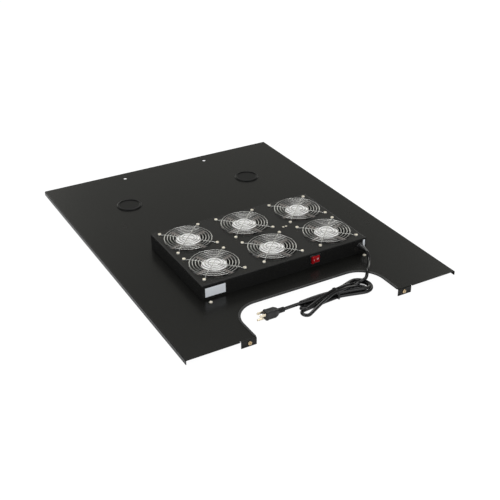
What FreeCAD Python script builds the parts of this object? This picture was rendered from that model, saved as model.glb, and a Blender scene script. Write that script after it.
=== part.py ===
import FreeCAD, Part
import math
import os
from FreeCAD import Vector

# Roof fan tray for a server cabinet: a folded roof panel that carries a raised
# housing with six axial fans, wire finger guards, a rocker switch and a mains cord.
# Millimetres, +Z up, +Y to the rear. The front tabs stand on z = 0.

os.makedirs("parts", exist_ok=True)

# --- Roof panel: one steel sheet, side flanges and front tabs folded down
panel_width = 710.0
panel_depth = 898.0
panel_gauge = 1.5
panel_bend_radius = 2.5
side_flange_drop = 11.0
tab_width = 37.5
tab_drop = 18.0
tab_root = 4.5
tab_relief = 2.0
rear_hole_radius = 5.0
rear_hole_spacing = 254.0
rear_hole_setback = 33.5

# --- Cable cut-out in the panel's front edge, with a rubber edge trim
cutout_half_width = 187.5
cutout_reach = 119.0
cutout_corner_radius = 61.5
trim_wall = 1.25
trim_nose = 1.5
trim_grip = 4.5
trim_slack = 0.1
trim_front_gap = 1.5

# --- Tab screws (M6 pan head) with push-on retaining washers
tab_screw_inset = 17.0
tab_screw_below_top = 9.5
tab_screw_radius = 3.0
tab_screw_length = 16.0
tab_neck_radius = 2.3
tab_neck_length = 3.0
tab_head_radius = 5.0
tab_head_height = 2.8
retainer_radius = 6.5
retainer_thickness = 1.0

# --- Blanking plugs in the two spare cable holes
plug_hole_radius = 30.0
plug_spacing = 364.0
plug_from_rear = 196.0
plug_rim_radius = 34.0
plug_rim_height = 3.0
plug_rim_width = 6.0
plug_dish_height = 1.2
plug_skirt_depth = 7.0
plug_skirt_wall = 2.0
plug_slack = 0.4

# --- Axial fans in three columns and two rows
fan_columns = 3
fan_size = 120.0
fan_depth = 38.0
fan_pitch_x = 156.2
fan_pitch_y = 136.5
fan_hole_spacing = 105.0
fan_flange = 5.0
fan_bore_radius = 57.5
fan_tube_wall = 2.2
fan_grid_from_front = 321.5
motor_radius = 31.0
motor_height = 8.0
strut_width = 7.0
strut_height = 4.0
strut_count = 4
strut_angle = 20.0

# --- Fan rotors
hub_radius = 30.0
hub_gap = 1.0
hub_height = 24.0
blade_count = 5
blade_tip_gap = 1.5
blade_thickness = 1.8
blade_root_chord = 33.0
blade_tip_chord = 52.0
blade_root_pitch = 44.0
blade_tip_pitch = 25.0
blade_camber = 2.6
blade_edge_share = 0.6
blade_root_reach = 27.0
shaft_radius = 2.0
shaft_length = 6.5
bearing_radius = 4.0
bearing_length = 7.0
running_gap = 0.05

# --- Fan housing: a five-sided sheet-metal box with flanges under the panel
housing_gauge = 1.2
housing_bend_radius = 2.0
housing_rise = 39.0
housing_side_margin = 8.8
housing_front_margin = 12.25
housing_rear_margin = 8.75
housing_flange_reach = 28.0
housing_slot_gap = 0.5
vent_radius = 58.8

# --- Screws through the panel into the housing flanges (M5)
flange_screw_spacing = 422.0
flange_screw_offset = 14.8
flange_screw_radius = 2.5
flange_head_radius = 4.6
flange_head_height = 2.4
flange_nut_radius = 4.6
flange_nut_height = 4.0

# --- Finger guards: welded rings on two crossed stays
guard_ring_count = 7
guard_outer_radius = 58.0
guard_ring_pitch = 7.25
ring_wire = 1.8
stay_wire = 1.9
guard_lift = 1.6
guard_leg_run = 9.0
guard_stay_angle = 45.0
eyelet_inner_radius = 2.4
eyelet_outer_radius = 4.4

# --- Guard screws (M4, thread cut into the fan flange)
guard_screw_radius = 2.0
guard_head_radius = 4.2
guard_head_height = 2.6
guard_head_gap = 0.3
guard_screw_end = 0.8
screw_slack = 0.2

# --- Rocker switch in the front wall
switch_x = 76.5
switch_below_top = 17.5
bezel_width = 31.0
bezel_height = 25.5
bezel_depth = 2.0
switch_body_width = 27.0
switch_body_height = 22.4
switch_body_depth = 19.0
rocker_width = 22.0
rocker_height = 18.5
rocker_slope = 10.0
rocker_pivot_depth = 2.5
rocker_crown = 2.2
rocker_back = 7.0
rocker_back_width = 12.0
rocker_clearance = 0.3
rocker_side_clearance = 1.2
pivot_radius = 1.2
pivot_length = 1.2
terminal_width = 6.3
terminal_gauge = 0.8
terminal_length = 7.0
terminal_spacing_x = 11.0
terminal_spacing_z = 9.0

# --- Terminal block under the housing top, and the leads to it
block_x = 81.0
block_y_offset = 5.6
block_length = 27.0
block_width = 18.0
block_height = 14.0
block_screw_spacing = 8.2
block_screw_radius = 1.5
block_head_radius = 2.7
block_head_height = 1.6
block_screw_reach = 8.0
loom_radius = 3.0
loom_drop = 9.0
loom_end_inset = 14.0
branch_radius = 1.5
switch_lead_radius = 2.0

# --- Labels (blank)
label_width = 52.0
label_height = 23.5
label_thickness = 0.2
label_from_side = 8.0
label_below_top = 9.0
strip_width = 6.0
strip_height = 23.5
strip_from_side = 3.4
strip_below_top = 3.6

# --- Mains cord
cord_diameter = 8.0
relief_x = 206.0
relief_below_top = 17.0
relief_flange_radius = 9.0
relief_flange_depth = 2.5
relief_root_radius = 7.0
relief_tip_radius = 5.0
relief_length = 22.0
relief_hole_radius = 6.4
relief_inner_radius = 6.0
relief_inner_length = 4.0

# Centre line of the cord from the strain relief, over the trimmed edge, to the hank
lead_route = [
    Vector(206.0, -288.6, 40.0),
    Vector(206.0, -297.5, 38.6),
    Vector(204.6, -307.0, 31.6),
    Vector(198.5, -317.5, 25.4),
    Vector(188.5, -330.0, 24.6),
    Vector(178.0, -342.5, 25.4),
    Vector(168.0, -353.0, 23.6),
    Vector(161.5, -360.0, 14.5),
]

# Centre line of the free end, from the tie across the hank to the plug
tail_route = [
    Vector(48.0, -384.6, 13.6),
    Vector(18.0, -381.4, 13.8),
    Vector(-14.0, -378.9, 13.7),
    Vector(-46.5, -376.9, 12.4),
    Vector(-77.5, -376.6, 11.3),
]

# The hank: two flattened lobes of cord either side of the tie
tie_x = 55.0
tie_y = -388.0
tie_width = 4.0
tie_gauge = 1.2
waist_length = 16.0
waist_width = 24.6
waist_height = 21.6
right_lobe = {"x": 117.0, "y": -370.5, "long": 57.0, "short": 31.0, "turn": 13.0, "height": 20.0}
left_lobe = {"x": 2.0, "y": -392.5, "long": 52.0, "short": 20.0, "turn": 6.0, "height": 9.2}

# --- Moulded mains plug at the cord's end
plug_back_x = -91.5
plug_y = -376.6
plug_body_length = 36.0
plug_body_width = 20.0
plug_body_height = 22.0
plug_neck_radius = 6.0
plug_neck_length = 14.0
plug_corner_radius = 3.0
plug_shoulder = 9.0
blade_pin_length = 16.0
blade_pin_width = 6.4
blade_pin_gauge = 1.5
blade_pin_spacing = 12.7
earth_pin_radius = 2.4
earth_pin_length = 19.0
earth_pin_offset = 11.9

# --- Flats that stand for the round of repeated, small and hidden pieces
bore_flats = 24
hub_flats = 16
boss_flats = 8
tube_flats = 8
screw_flats = 6
cord_flats = 8
cord_bend_share = 0.45
hank_flats = 24
eyelet_flats = 8
ring_flat_step = 29.0

# --------------------------------------------------------------- derived places
front_y = -panel_depth / 2 + tab_head_height / 2
rear_y = front_y + panel_depth
panel_top = tab_drop
panel_under = panel_top - panel_gauge

grid_y = front_y + fan_grid_from_front
fan_rows = {"front": grid_y - fan_pitch_y / 2, "rear": grid_y + fan_pitch_y / 2}
fan_cols = {"left": -fan_pitch_x, "middle": 0.0, "right": fan_pitch_x}
fans = {f"{row}_{col}": (x, y) for row, y in fan_rows.items() for col, x in fan_cols.items()}

housing_half = fan_pitch_x * (fan_columns - 1) / 2 + fan_size / 2 + housing_side_margin
housing_front = fan_rows["front"] - fan_size / 2 - housing_front_margin
housing_rear = fan_rows["rear"] + fan_size / 2 + housing_rear_margin
housing_top = panel_top + housing_rise
housing_under = housing_top - housing_gauge
housing_foot = panel_under - housing_gauge
fan_top = housing_under
fan_foot = fan_top - fan_depth

screw_corners = [(sx * fan_hole_spacing / 2, sy * fan_hole_spacing / 2) for sx in (-1, 1) for sy in (-1, 1)]
guard_screw_seat = housing_top + stay_wire
flange_screw_rows = (housing_front - flange_screw_offset, housing_rear + flange_screw_offset)
flange_screw_spots = [(sx * flange_screw_spacing / 2, y) for y in flange_screw_rows for sx in (-1, 1)]
plug_spots = [(sx * plug_spacing / 2, rear_y - plug_from_rear) for sx in (-1, 1)]
switch_z = housing_top - switch_below_top
rocker_half_slot = rocker_width / 2 + rocker_side_clearance
relief_z = housing_top - relief_below_top
cord_radius = cord_diameter / 2


# ---------------------------------------------------------------- small helpers
def block(x0, x1, y0, y1, z0, z1):
    """A plain rectangular solid between two corners."""
    return Part.makeBox(x1 - x0, y1 - y0, z1 - z0, Vector(x0, y0, z0))


def rod(radius, start, run):
    """A round bar from a start point along a vector."""
    return Part.makeCylinder(radius, run.Length, start, run)


def upright(radius, x, y, z0, z1):
    """A round bar along +Z."""
    return rod(radius, Vector(x, y, z0), Vector(0, 0, z1 - z0))


def flatted_loop(radius, flats, centre, axis):
    """A regular polygon whose flats touch a circle about an axis, one flat facing sideways."""
    turn = FreeCAD.Rotation(Vector(0, 0, 1), axis)
    reach = radius / math.cos(math.pi / flats)
    angles = [2 * math.pi * (step + 0.5) / flats for step in range(flats)]
    points = [centre + turn.multVec(Vector(reach * math.cos(a), reach * math.sin(a), 0)) for a in angles]
    return Part.makePolygon(points + points[:1])


def flatted_rod(radius, flats, start, run):
    """A bar of regular polygon section from a start point along a vector."""
    return Part.Face(flatted_loop(radius, flats, start, run)).extrude(run)


def flatted_taper(start_radius, end_radius, flats, start, run):
    """A tapered bar of regular polygon section, with a flat face along each side."""
    wide = flatted_loop(start_radius, flats, start, run)
    narrow = flatted_loop(end_radius, flats, start + run, run)
    a = [vertex.Point for vertex in wide.OrderedVertexes]
    b = [vertex.Point for vertex in narrow.OrderedVertexes]
    sides = [polygon_face([a[i - 1], a[i], b[i], b[i - 1]]) for i in range(flats)]
    return Part.Solid(Part.makeShell([Part.Face(wide), Part.Face(narrow)] + sides))


def flatted_upright(radius, flats, x, y, z0, z1):
    """A bar of regular polygon section along +Z."""
    return flatted_rod(radius, flats, Vector(x, y, z0), Vector(0, 0, z1 - z0))


def arc(start, middle, end):
    """A circular edge through three points."""
    return Part.Arc(start, middle, end).toShape()


def line(start, end):
    """A straight edge."""
    return Part.LineSegment(start, end).toShape()


def corner_arc(centre, radius, start_degrees, side_a, side_b):
    """A quarter-round edge in the plane of the unit vectors side_a and side_b."""
    turns = [math.radians(start_degrees + step) for step in (0, 45, 90)]
    points = [centre + side_a * radius * math.cos(t) + side_b * radius * math.sin(t) for t in turns]
    return arc(*points)


def polygon_face(points):
    """A flat face from its corner points."""
    return Part.Face(Part.makePolygon(points + points[:1]))


def save(node, *solids):
    """Write one node, as a single solid or as a group of like solids."""
    shape = solids[0] if len(solids) == 1 else Part.makeCompound(list(solids))
    shape.exportStep(f"parts/{node}.step")


# -------------------------------------------------------------------- roof panel
def channel_section():
    """The folded cross-section of the panel: a sheet with both side flanges turned down."""
    across = Vector(1, 0, 0)
    up = Vector(0, 0, 1)
    half = panel_width / 2
    inner_radius = panel_bend_radius - panel_gauge
    low = panel_top - side_flange_drop
    bend_z = panel_top - panel_bend_radius
    bend_x = half - panel_bend_radius
    points = {
        "left_low": Vector(-half, front_y, low),
        "left_bend": Vector(-half, front_y, bend_z),
        "top_left": Vector(-bend_x, front_y, panel_top),
        "top_right": Vector(bend_x, front_y, panel_top),
        "right_bend": Vector(half, front_y, bend_z),
        "right_low": Vector(half, front_y, low),
        "inner_right_low": Vector(half - panel_gauge, front_y, low),
        "inner_right_bend": Vector(half - panel_gauge, front_y, bend_z),
        "under_right": Vector(bend_x, front_y, panel_under),
        "under_left": Vector(-bend_x, front_y, panel_under),
        "inner_left_bend": Vector(-half + panel_gauge, front_y, bend_z),
        "inner_left_low": Vector(-half + panel_gauge, front_y, low),
    }
    left_centre = Vector(-bend_x, front_y, bend_z)
    right_centre = Vector(bend_x, front_y, bend_z)
    edges = [
        line(points["left_low"], points["left_bend"]),
        corner_arc(left_centre, panel_bend_radius, 90, across, up),
        line(points["top_left"], points["top_right"]),
        corner_arc(right_centre, panel_bend_radius, 0, across, up),
        line(points["right_bend"], points["right_low"]),
        line(points["right_low"], points["inner_right_low"]),
        line(points["inner_right_low"], points["inner_right_bend"]),
        corner_arc(right_centre, inner_radius, 0, across, up),
        line(points["under_right"], points["under_left"]),
        corner_arc(left_centre, inner_radius, 90, across, up),
        line(points["inner_left_bend"], points["inner_left_low"]),
        line(points["inner_left_low"], points["left_low"]),
    ]
    return Part.Face(Part.Wire(Part.__sortEdges__(edges)))


def cutout_prism(offset, z0, z1, start_y):
    """The cable cut-out's outline, grown by an offset, as a solid between two heights."""
    half = cutout_half_width + offset
    back = front_y + cutout_reach + offset
    radius = cutout_corner_radius + offset
    across = Vector(1, 0, 0)
    rear = Vector(0, 1, 0)
    left_centre = Vector(-half + radius, back - radius, z0)
    right_centre = Vector(half - radius, back - radius, z0)
    edges = [
        line(Vector(-half, start_y, z0), Vector(-half, back - radius, z0)),
        corner_arc(left_centre, radius, 90, across, rear),
        line(Vector(-half + radius, back, z0), Vector(half - radius, back, z0)),
        corner_arc(right_centre, radius, 0, across, rear),
        line(Vector(half, back - radius, z0), Vector(half, start_y, z0)),
        line(Vector(half, start_y, z0), Vector(-half, start_y, z0)),
    ]
    return Part.Face(Part.Wire(Part.__sortEdges__(edges))).extrude(Vector(0, 0, z1 - z0))


def front_tab(side):
    """A tab folded down from the panel's front edge, as an extruded bent strip."""
    rear = Vector(0, 1, 0)
    up = Vector(0, 0, 1)
    x = cutout_half_width if side > 0 else -cutout_half_width - tab_width
    bend_z = panel_top - panel_bend_radius
    centre = Vector(x, front_y + panel_bend_radius, bend_z)
    root_y = front_y + tab_root
    edges = [
        line(Vector(x, root_y, panel_top), Vector(x, front_y + panel_bend_radius, panel_top)),
        corner_arc(centre, panel_bend_radius, 90, rear, up),
        line(Vector(x, front_y, bend_z), Vector(x, front_y, 0)),
        line(Vector(x, front_y, 0), Vector(x, front_y + panel_gauge, 0)),
        line(Vector(x, front_y + panel_gauge, 0), Vector(x, front_y + panel_gauge, bend_z)),
        corner_arc(centre, panel_bend_radius - panel_gauge, 90, rear, up),
        line(Vector(x, front_y + panel_bend_radius, panel_under), Vector(x, root_y, panel_under)),
        line(Vector(x, root_y, panel_under), Vector(x, root_y, panel_top)),
    ]
    tab = Part.Face(Part.Wire(Part.__sortEdges__(edges))).extrude(Vector(tab_width, 0, 0))
    hole_radius = tab_screw_radius + screw_slack
    return tab.cut(flatted_rod(hole_radius, screw_flats, tab_screw_spot(side), Vector(0, panel_gauge, 0)))


def tab_screw_spot(side):
    """Where a tab screw's axis meets the tab's front face."""
    return Vector(side * (cutout_half_width + tab_screw_inset), front_y, panel_top - tab_screw_below_top)


def roof_panel():
    below = panel_under - 1
    above = panel_top + 1
    panel = channel_section().extrude(Vector(0, panel_depth, 0))
    cuts = [
        cutout_prism(0, below, above, front_y - 1),
        block(
            -housing_half - housing_slot_gap,
            housing_half + housing_slot_gap,
            housing_front - housing_slot_gap,
            housing_rear + housing_slot_gap,
            below,
            above,
        ),
    ]
    tab_outer = cutout_half_width + tab_width + tab_relief
    cuts.append(block(-tab_outer, tab_outer, front_y - 1, front_y + tab_root, below, above))
    cuts += [flatted_upright(plug_hole_radius, bore_flats, x, y, below, above) for x, y in plug_spots]
    cuts += [
        upright(rear_hole_radius, side * rear_hole_spacing / 2, rear_y - rear_hole_setback, below, above)
        for side in (-1, 1)
    ]
    radius = flange_screw_radius + screw_slack
    cuts += [flatted_upright(radius, screw_flats, x, y, below, above) for x, y in flange_screw_spots]
    panel = panel.cut(Part.makeCompound(cuts))
    return panel.fuse([front_tab(-1), front_tab(1)]).removeSplitter()


def cutout_trim():
    """Rubber channel pushed over the cut-out's edge."""
    start_y = front_y + tab_root + trim_front_gap
    low = panel_under - trim_wall
    high = panel_top + trim_wall
    strip = cutout_prism(trim_grip, low, high, start_y).cut(cutout_prism(-trim_nose, low, high, start_y))
    slot = cutout_prism(trim_grip, panel_under, panel_top, start_y)
    return strip.cut(slot.cut(cutout_prism(-trim_slack, panel_under, panel_top, start_y)))


# -------------------------------------------------------------------- fan housing
def rounded_box(half, y0, y1, z0, z1, radius):
    """A box whose four top edges are rolled over a bend radius."""
    body = block(-half, half, y0, y1, z0, z1)
    rims = [edge for edge in body.Edges if min(v.Z for v in edge.Vertexes) > z1 - radius / 2]
    return body.makeFillet(radius, rims)


def fan_housing():
    wall = housing_gauge
    shell = rounded_box(housing_half, housing_front, housing_rear, housing_foot, housing_top, housing_bend_radius)
    hollow = rounded_box(
        housing_half - wall,
        housing_front + wall,
        housing_rear - wall,
        housing_foot - wall,
        housing_under,
        housing_bend_radius - wall,
    )
    shell = shell.cut(hollow)
    flanges = [
        block(-housing_half, housing_half, y0, y1, housing_foot, panel_under)
        for y0, y1 in (
            (housing_front - housing_flange_reach, housing_front + wall),
            (housing_rear - wall, housing_rear + housing_flange_reach),
        )
    ]
    low = housing_under - housing_bend_radius
    high = housing_top + 1
    cuts = [flatted_upright(vent_radius, bore_flats, x, y, low, high) for x, y in fans.values()]
    for x, y in guard_screw_spots():
        cuts.append(flatted_upright(guard_screw_radius + screw_slack, screw_flats, x, y, low, high))
    for x, y in block_screw_spots():
        cuts.append(flatted_upright(block_screw_radius + screw_slack, screw_flats, x, y, low, high))
    for x, y in flange_screw_spots:
        radius = flange_screw_radius + screw_slack
        cuts.append(flatted_upright(radius, screw_flats, x, y, housing_foot - 1, panel_under + 1))
    cuts.append(
        block(
            switch_x - switch_body_width / 2 - screw_slack,
            switch_x + switch_body_width / 2 + screw_slack,
            housing_front - 1,
            housing_front + wall + 1,
            switch_z - switch_body_height / 2 - screw_slack,
            switch_z + switch_body_height / 2 + screw_slack,
        )
    )
    hole_start = Vector(relief_x, housing_front - 1, relief_z)
    cuts.append(flatted_rod(relief_hole_radius, hub_flats, hole_start, Vector(0, wall + 2, 0)))
    return shell.fuse(flanges).cut(Part.makeCompound(cuts)).removeSplitter()


# --------------------------------------------------------------------------- fans
def fan_frame(x, y):
    """Cast fan frame: two square flanges on a round tube, with the motor seat on four struts."""
    half = fan_size / 2
    frame = flatted_upright(fan_bore_radius + fan_tube_wall, tube_flats, x, y, fan_foot, fan_top)
    for z in (fan_foot, fan_top - fan_flange):
        frame = frame.fuse(block(x - half, x + half, y - half, y + half, z, z + fan_flange))
    hole_radius = guard_screw_radius + running_gap
    cuts = [flatted_upright(fan_bore_radius, bore_flats, x, y, fan_foot - 1, fan_top + 1)]
    for dx, dy in screw_corners:
        cuts.append(flatted_upright(hole_radius, screw_flats, x + dx, y + dy, fan_foot - 1, fan_top + 1))
    frame = frame.cut(Part.makeCompound(cuts))
    seat_top = fan_top - motor_height + bearing_length
    motor = flatted_upright(motor_radius, hub_flats, x, y, fan_top - motor_height, fan_top)
    motor = motor.cut(flatted_upright(bearing_radius, boss_flats, x, y, fan_top - motor_height - 1, seat_top))
    side = strut_width / 2
    strut = block(motor_radius - 1, fan_bore_radius + 1, -side, side, fan_top - strut_height, fan_top)
    struts = []
    for step in range(strut_count):
        arm = strut.copy()
        arm.rotate(Vector(0, 0, 0), Vector(0, 0, 1), strut_angle + step * 360 / strut_count)
        arm.translate(Vector(x, y, 0))
        struts.append(arm)
    return frame.fuse([motor] + struts).removeSplitter()


def bearing_sleeve(x, y):
    """Sintered sleeve pressed into the motor seat."""
    low = fan_top - motor_height
    high = low + bearing_length
    bore = upright(shaft_radius + running_gap, x, y, low, high)
    return flatted_upright(bearing_radius, boss_flats, x, y, low, high).cut(bore)


def blade_section(reach, chord, pitch):
    """Corner points of a cambered blade section, wrapped round the fan's axis at a reach."""
    half = chord / 2
    skin = blade_thickness / 2
    edge = skin * blade_edge_share
    outline = [
        (-half, -edge),
        (0, blade_camber - skin),
        (half, -edge),
        (half, edge),
        (0, blade_camber + skin),
        (-half, edge),
    ]
    turn = math.radians(pitch)
    points = []
    for u, v in outline:
        across = u * math.cos(turn) - v * math.sin(turn)
        rise = u * math.sin(turn) + v * math.cos(turn)
        points.append(Vector(math.sqrt(reach**2 - across**2), across, rise))
    return points


def faceted_blade():
    """A twisted blade skinned with flat triangles between its root and tip sections."""
    root = blade_section(blade_root_reach, blade_root_chord, blade_root_pitch)
    tip = blade_section(fan_bore_radius - blade_tip_gap, blade_tip_chord, blade_tip_pitch)
    faces = []
    for section in (root, tip):
        faces += [polygon_face([section[i] for i in trio]) for trio in ((0, 1, 5), (1, 4, 5), (1, 2, 4), (2, 3, 4))]
    for here in range(len(root)):
        on = (here + 1) % len(root)
        faces.append(polygon_face([root[here], root[on], tip[on]]))
        faces.append(polygon_face([root[here], tip[on], tip[here]]))
    return Part.Solid(Part.makeShell(faces))


def fan_rotor(x, y):
    """Moulded rotor: a hub with a ring of twisted blades, and the shaft that runs in the sleeve."""
    hub_top = fan_top - motor_height - hub_gap
    half = hub_height / 2
    hub = flatted_upright(hub_radius, hub_flats, 0, 0, -half, half)
    blade = faceted_blade()
    blades = []
    for step in range(blade_count):
        copy = blade.copy()
        copy.rotate(Vector(0, 0, 0), Vector(0, 0, 1), step * 360 / blade_count)
        blades.append(copy)
    shaft = upright(shaft_radius, 0, 0, half, half + hub_gap + shaft_length)
    rotor = hub.fuse(blades + [shaft]).removeSplitter()
    rotor.translate(Vector(x, y, hub_top - half))
    return rotor


# ------------------------------------------------------------------ finger guards
def guard_ring(x, y, radius, wire, z, height, flats):
    """A ring of wire with flats, standing on a height."""
    outer = flatted_upright(radius + wire / 2, flats, x, y, z, z + height)
    return outer.cut(flatted_upright(radius - wire / 2, flats, x, y, z, z + height))


def guard_stay(x, y, lift, turn):
    """A stay wire from eyelet to eyelet, raised over the fan by a sloping leg at each end."""
    eyelet_reach = fan_hole_spacing / math.sqrt(2)
    foot = eyelet_reach - eyelet_inner_radius - stay_wire / 2
    toe = eyelet_reach - guard_head_radius / math.cos(math.pi / boss_flats) - guard_head_gap
    crest = toe - guard_leg_run
    profile = [
        (-foot, 0),
        (-foot, stay_wire),
        (-toe, stay_wire),
        (-crest, lift + stay_wire),
        (crest, lift + stay_wire),
        (toe, stay_wire),
        (foot, stay_wire),
        (foot, 0),
        (crest, lift),
        (-crest, lift),
    ]
    side = y - stay_wire / 2
    stay = polygon_face([Vector(x + s, side, housing_top + h) for s, h in profile]).extrude(Vector(0, stay_wire, 0))
    stay.rotate(Vector(x, y, 0), Vector(0, 0, 1), turn)
    return stay


def finger_guard(x, y):
    """Seven concentric rings between a lower and an upper stay, with four screw eyelets."""
    ring_z = housing_top + guard_lift + stay_wire
    upper_lift = guard_lift + stay_wire + ring_wire
    pieces = [
        guard_stay(x, y, guard_lift, -guard_stay_angle),
        guard_stay(x, y, upper_lift, guard_stay_angle),
    ]
    for step in range(guard_ring_count):
        radius = guard_outer_radius - step * guard_ring_pitch
        flats = 4 + 4 * math.ceil(radius / ring_flat_step)
        pieces.append(guard_ring(x, y, radius, ring_wire, ring_z, ring_wire, flats))
    eyelet_radius = (eyelet_inner_radius + eyelet_outer_radius) / 2
    eyelet_band = eyelet_outer_radius - eyelet_inner_radius
    for dx, dy in screw_corners:
        pieces.append(guard_ring(x + dx, y + dy, eyelet_radius, eyelet_band, housing_top, stay_wire, eyelet_flats))
    return pieces[0].fuse(pieces[1:]).removeSplitter()


def pan_screw(head_radius, head_height, shank_radius, seat, axis, length):
    """A pan-head screw: its head stands on the seat and its shank runs along the axis."""
    head = flatted_rod(head_radius, boss_flats, seat, axis * -head_height)
    return head.fuse(flatted_rod(shank_radius, screw_flats, seat, axis * length)).removeSplitter()


def guard_screw_spots():
    return [(x + dx, y + dy) for x, y in fans.values() for dx, dy in screw_corners]


def guard_screws():
    down = Vector(0, 0, -1)
    length = guard_screw_seat - fan_top + fan_flange - guard_screw_end
    head = (guard_head_radius, guard_head_height, guard_screw_radius)
    return [pan_screw(*head, Vector(x, y, guard_screw_seat), down, length) for x, y in guard_screw_spots()]


# ------------------------------------------------------------- panel fastenings
def flange_screws():
    down = Vector(0, 0, -1)
    length = panel_top - housing_foot + flange_nut_height
    head = (flange_head_radius, flange_head_height, flange_screw_radius)
    return [pan_screw(*head, Vector(x, y, panel_top), down, length) for x, y in flange_screw_spots]


def flange_nuts():
    """Hexagon nuts pressed under the housing flanges."""
    nuts = []
    low = housing_foot - flange_nut_height
    for x, y in flange_screw_spots:
        nut = flatted_upright(flange_nut_radius, 6, x, y, low, housing_foot)
        nuts.append(nut.cut(flatted_upright(flange_screw_radius + running_gap, screw_flats, x, y, low, housing_foot)))
    return nuts


def tab_screws():
    """Captive pan-head screws: a thin neck through the tab, then a thicker round thread behind it."""
    screws = []
    for side in (-1, 1):
        seat = tab_screw_spot(side)
        head = flatted_rod(tab_head_radius, bore_flats, seat, Vector(0, -tab_head_height, 0))
        neck = rod(tab_neck_radius, seat, Vector(0, tab_neck_length, 0))
        thread_start = seat + Vector(0, tab_neck_length, 0)
        thread = rod(tab_screw_radius, thread_start, Vector(0, tab_screw_length - tab_neck_length, 0))
        screws.append(head.fuse([neck, thread]).removeSplitter())
    return screws


def tab_retainers():
    """Push-on washers that sit on the tab screws' necks and keep them captive."""
    washers = []
    for side in (-1, 1):
        start = tab_screw_spot(side) + Vector(0, panel_gauge, 0)
        run = Vector(0, retainer_thickness, 0)
        washer = flatted_rod(retainer_radius, hub_flats, start, run)
        washers.append(washer.cut(flatted_rod(tab_neck_radius + running_gap, boss_flats, start, run)))
    return washers


def blanking_plug(x, y):
    """Snap-in plug: a raised rim, a dished centre and a skirt through the hole."""
    skirt = plug_hole_radius - plug_slack
    dish_top = panel_top + plug_dish_height
    rim_top = panel_top + plug_rim_height
    skirt_foot = panel_top - plug_skirt_depth
    up = Vector(0, 0, 1)
    base = Vector(x, y, panel_top)
    rim = flatted_taper(plug_rim_radius, plug_rim_radius - plug_rim_height / 2, bore_flats, base, up * plug_rim_height)
    dish = flatted_upright(plug_rim_radius - plug_rim_width, bore_flats, x, y, dish_top, rim_top)
    body = flatted_upright(skirt, bore_flats, x, y, skirt_foot, panel_top)
    hollow = flatted_upright(skirt - plug_skirt_wall, bore_flats, x, y, skirt_foot, panel_top)
    return rim.cut(dish).fuse(body.cut(hollow)).removeSplitter()


# ------------------------------------------------------------------ rocker switch
def switch_body():
    """Switch case with its bezel, the rocker's well and the two pivot holes."""
    face = housing_front
    half_w = switch_body_width / 2
    half_h = switch_body_height / 2
    well_h = rocker_height / 2 + rocker_clearance
    case = block(
        switch_x - half_w,
        switch_x + half_w,
        face,
        face + switch_body_depth,
        switch_z - half_h,
        switch_z + half_h,
    )
    bezel = block(
        switch_x - bezel_width / 2,
        switch_x + bezel_width / 2,
        face - bezel_depth,
        face,
        switch_z - bezel_height / 2,
        switch_z + bezel_height / 2,
    )
    well = block(
        switch_x - rocker_half_slot,
        switch_x + rocker_half_slot,
        face - bezel_depth - 1,
        face + rocker_pivot_depth + rocker_back + rocker_side_clearance,
        switch_z - well_h,
        switch_z + well_h,
    )
    pivot_reach = rocker_height / 2 + pivot_length + rocker_clearance / 2
    pivots = upright(
        pivot_radius + running_gap, switch_x, face + rocker_pivot_depth, switch_z - pivot_reach, switch_z + pivot_reach
    )
    return case.fuse(bezel).cut(Part.makeCompound([well, pivots])).removeSplitter()


def switch_rocker():
    """The rocker, a shallow V that turns about an upright pivot, with its left side pressed in."""
    half = rocker_width / 2
    slope = math.tan(math.radians(rocker_slope))
    crest = housing_front - rocker_crown
    pivot_y = housing_front + rocker_pivot_depth
    base = switch_z - rocker_height / 2
    profile = [
        (-half, crest - half * slope),
        (0, crest),
        (half, crest - half * slope),
        (half, pivot_y),
        (rocker_back_width / 2, pivot_y + rocker_back),
        (-rocker_back_width / 2, pivot_y + rocker_back),
        (-half, pivot_y),
    ]
    rocker = polygon_face([Vector(switch_x + s, y, base) for s, y in profile]).extrude(Vector(0, 0, rocker_height))
    reach = rocker_height / 2 + pivot_length
    rocker = rocker.fuse(upright(pivot_radius, switch_x, pivot_y, switch_z - reach, switch_z + reach))
    rocker = rocker.removeSplitter()
    rocker.rotate(Vector(switch_x, pivot_y, 0), Vector(0, 0, 1), rocker_slope)
    return rocker


def switch_terminals():
    """Four push-on tabs at the back of the switch."""
    back = housing_front + switch_body_depth
    tabs = []
    for side_x in (-1, 1):
        for side_z in (-1, 1):
            x = switch_x + side_x * terminal_spacing_x / 2
            z = switch_z + side_z * terminal_spacing_z / 2
            half = terminal_width / 2
            thin = terminal_gauge / 2
            tabs.append(block(x - half, x + half, back, back + terminal_length, z - thin, z + thin))
    return tabs


# --------------------------------------------------------------- inner wiring
def block_screw_spots():
    return [(block_x + side * block_screw_spacing / 2, grid_y + block_y_offset) for side in (-1, 1)]


def terminal_block():
    half_l = block_length / 2
    half_w = block_width / 2
    y = grid_y + block_y_offset
    body = block(block_x - half_l, block_x + half_l, y - half_w, y + half_w, housing_under - block_height, housing_under)
    low = housing_under - block_screw_reach
    radius = block_screw_radius + running_gap
    holes = [flatted_upright(radius, screw_flats, a, b, low, housing_under) for a, b in block_screw_spots()]
    return body.cut(Part.makeCompound(holes))


def block_screws():
    down = Vector(0, 0, -1)
    length = housing_gauge + block_screw_reach - guard_screw_end
    return [
        pan_screw(block_head_radius, block_head_height, block_screw_radius, Vector(a, b, housing_top), down, length)
        for a, b in block_screw_spots()
    ]


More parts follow.
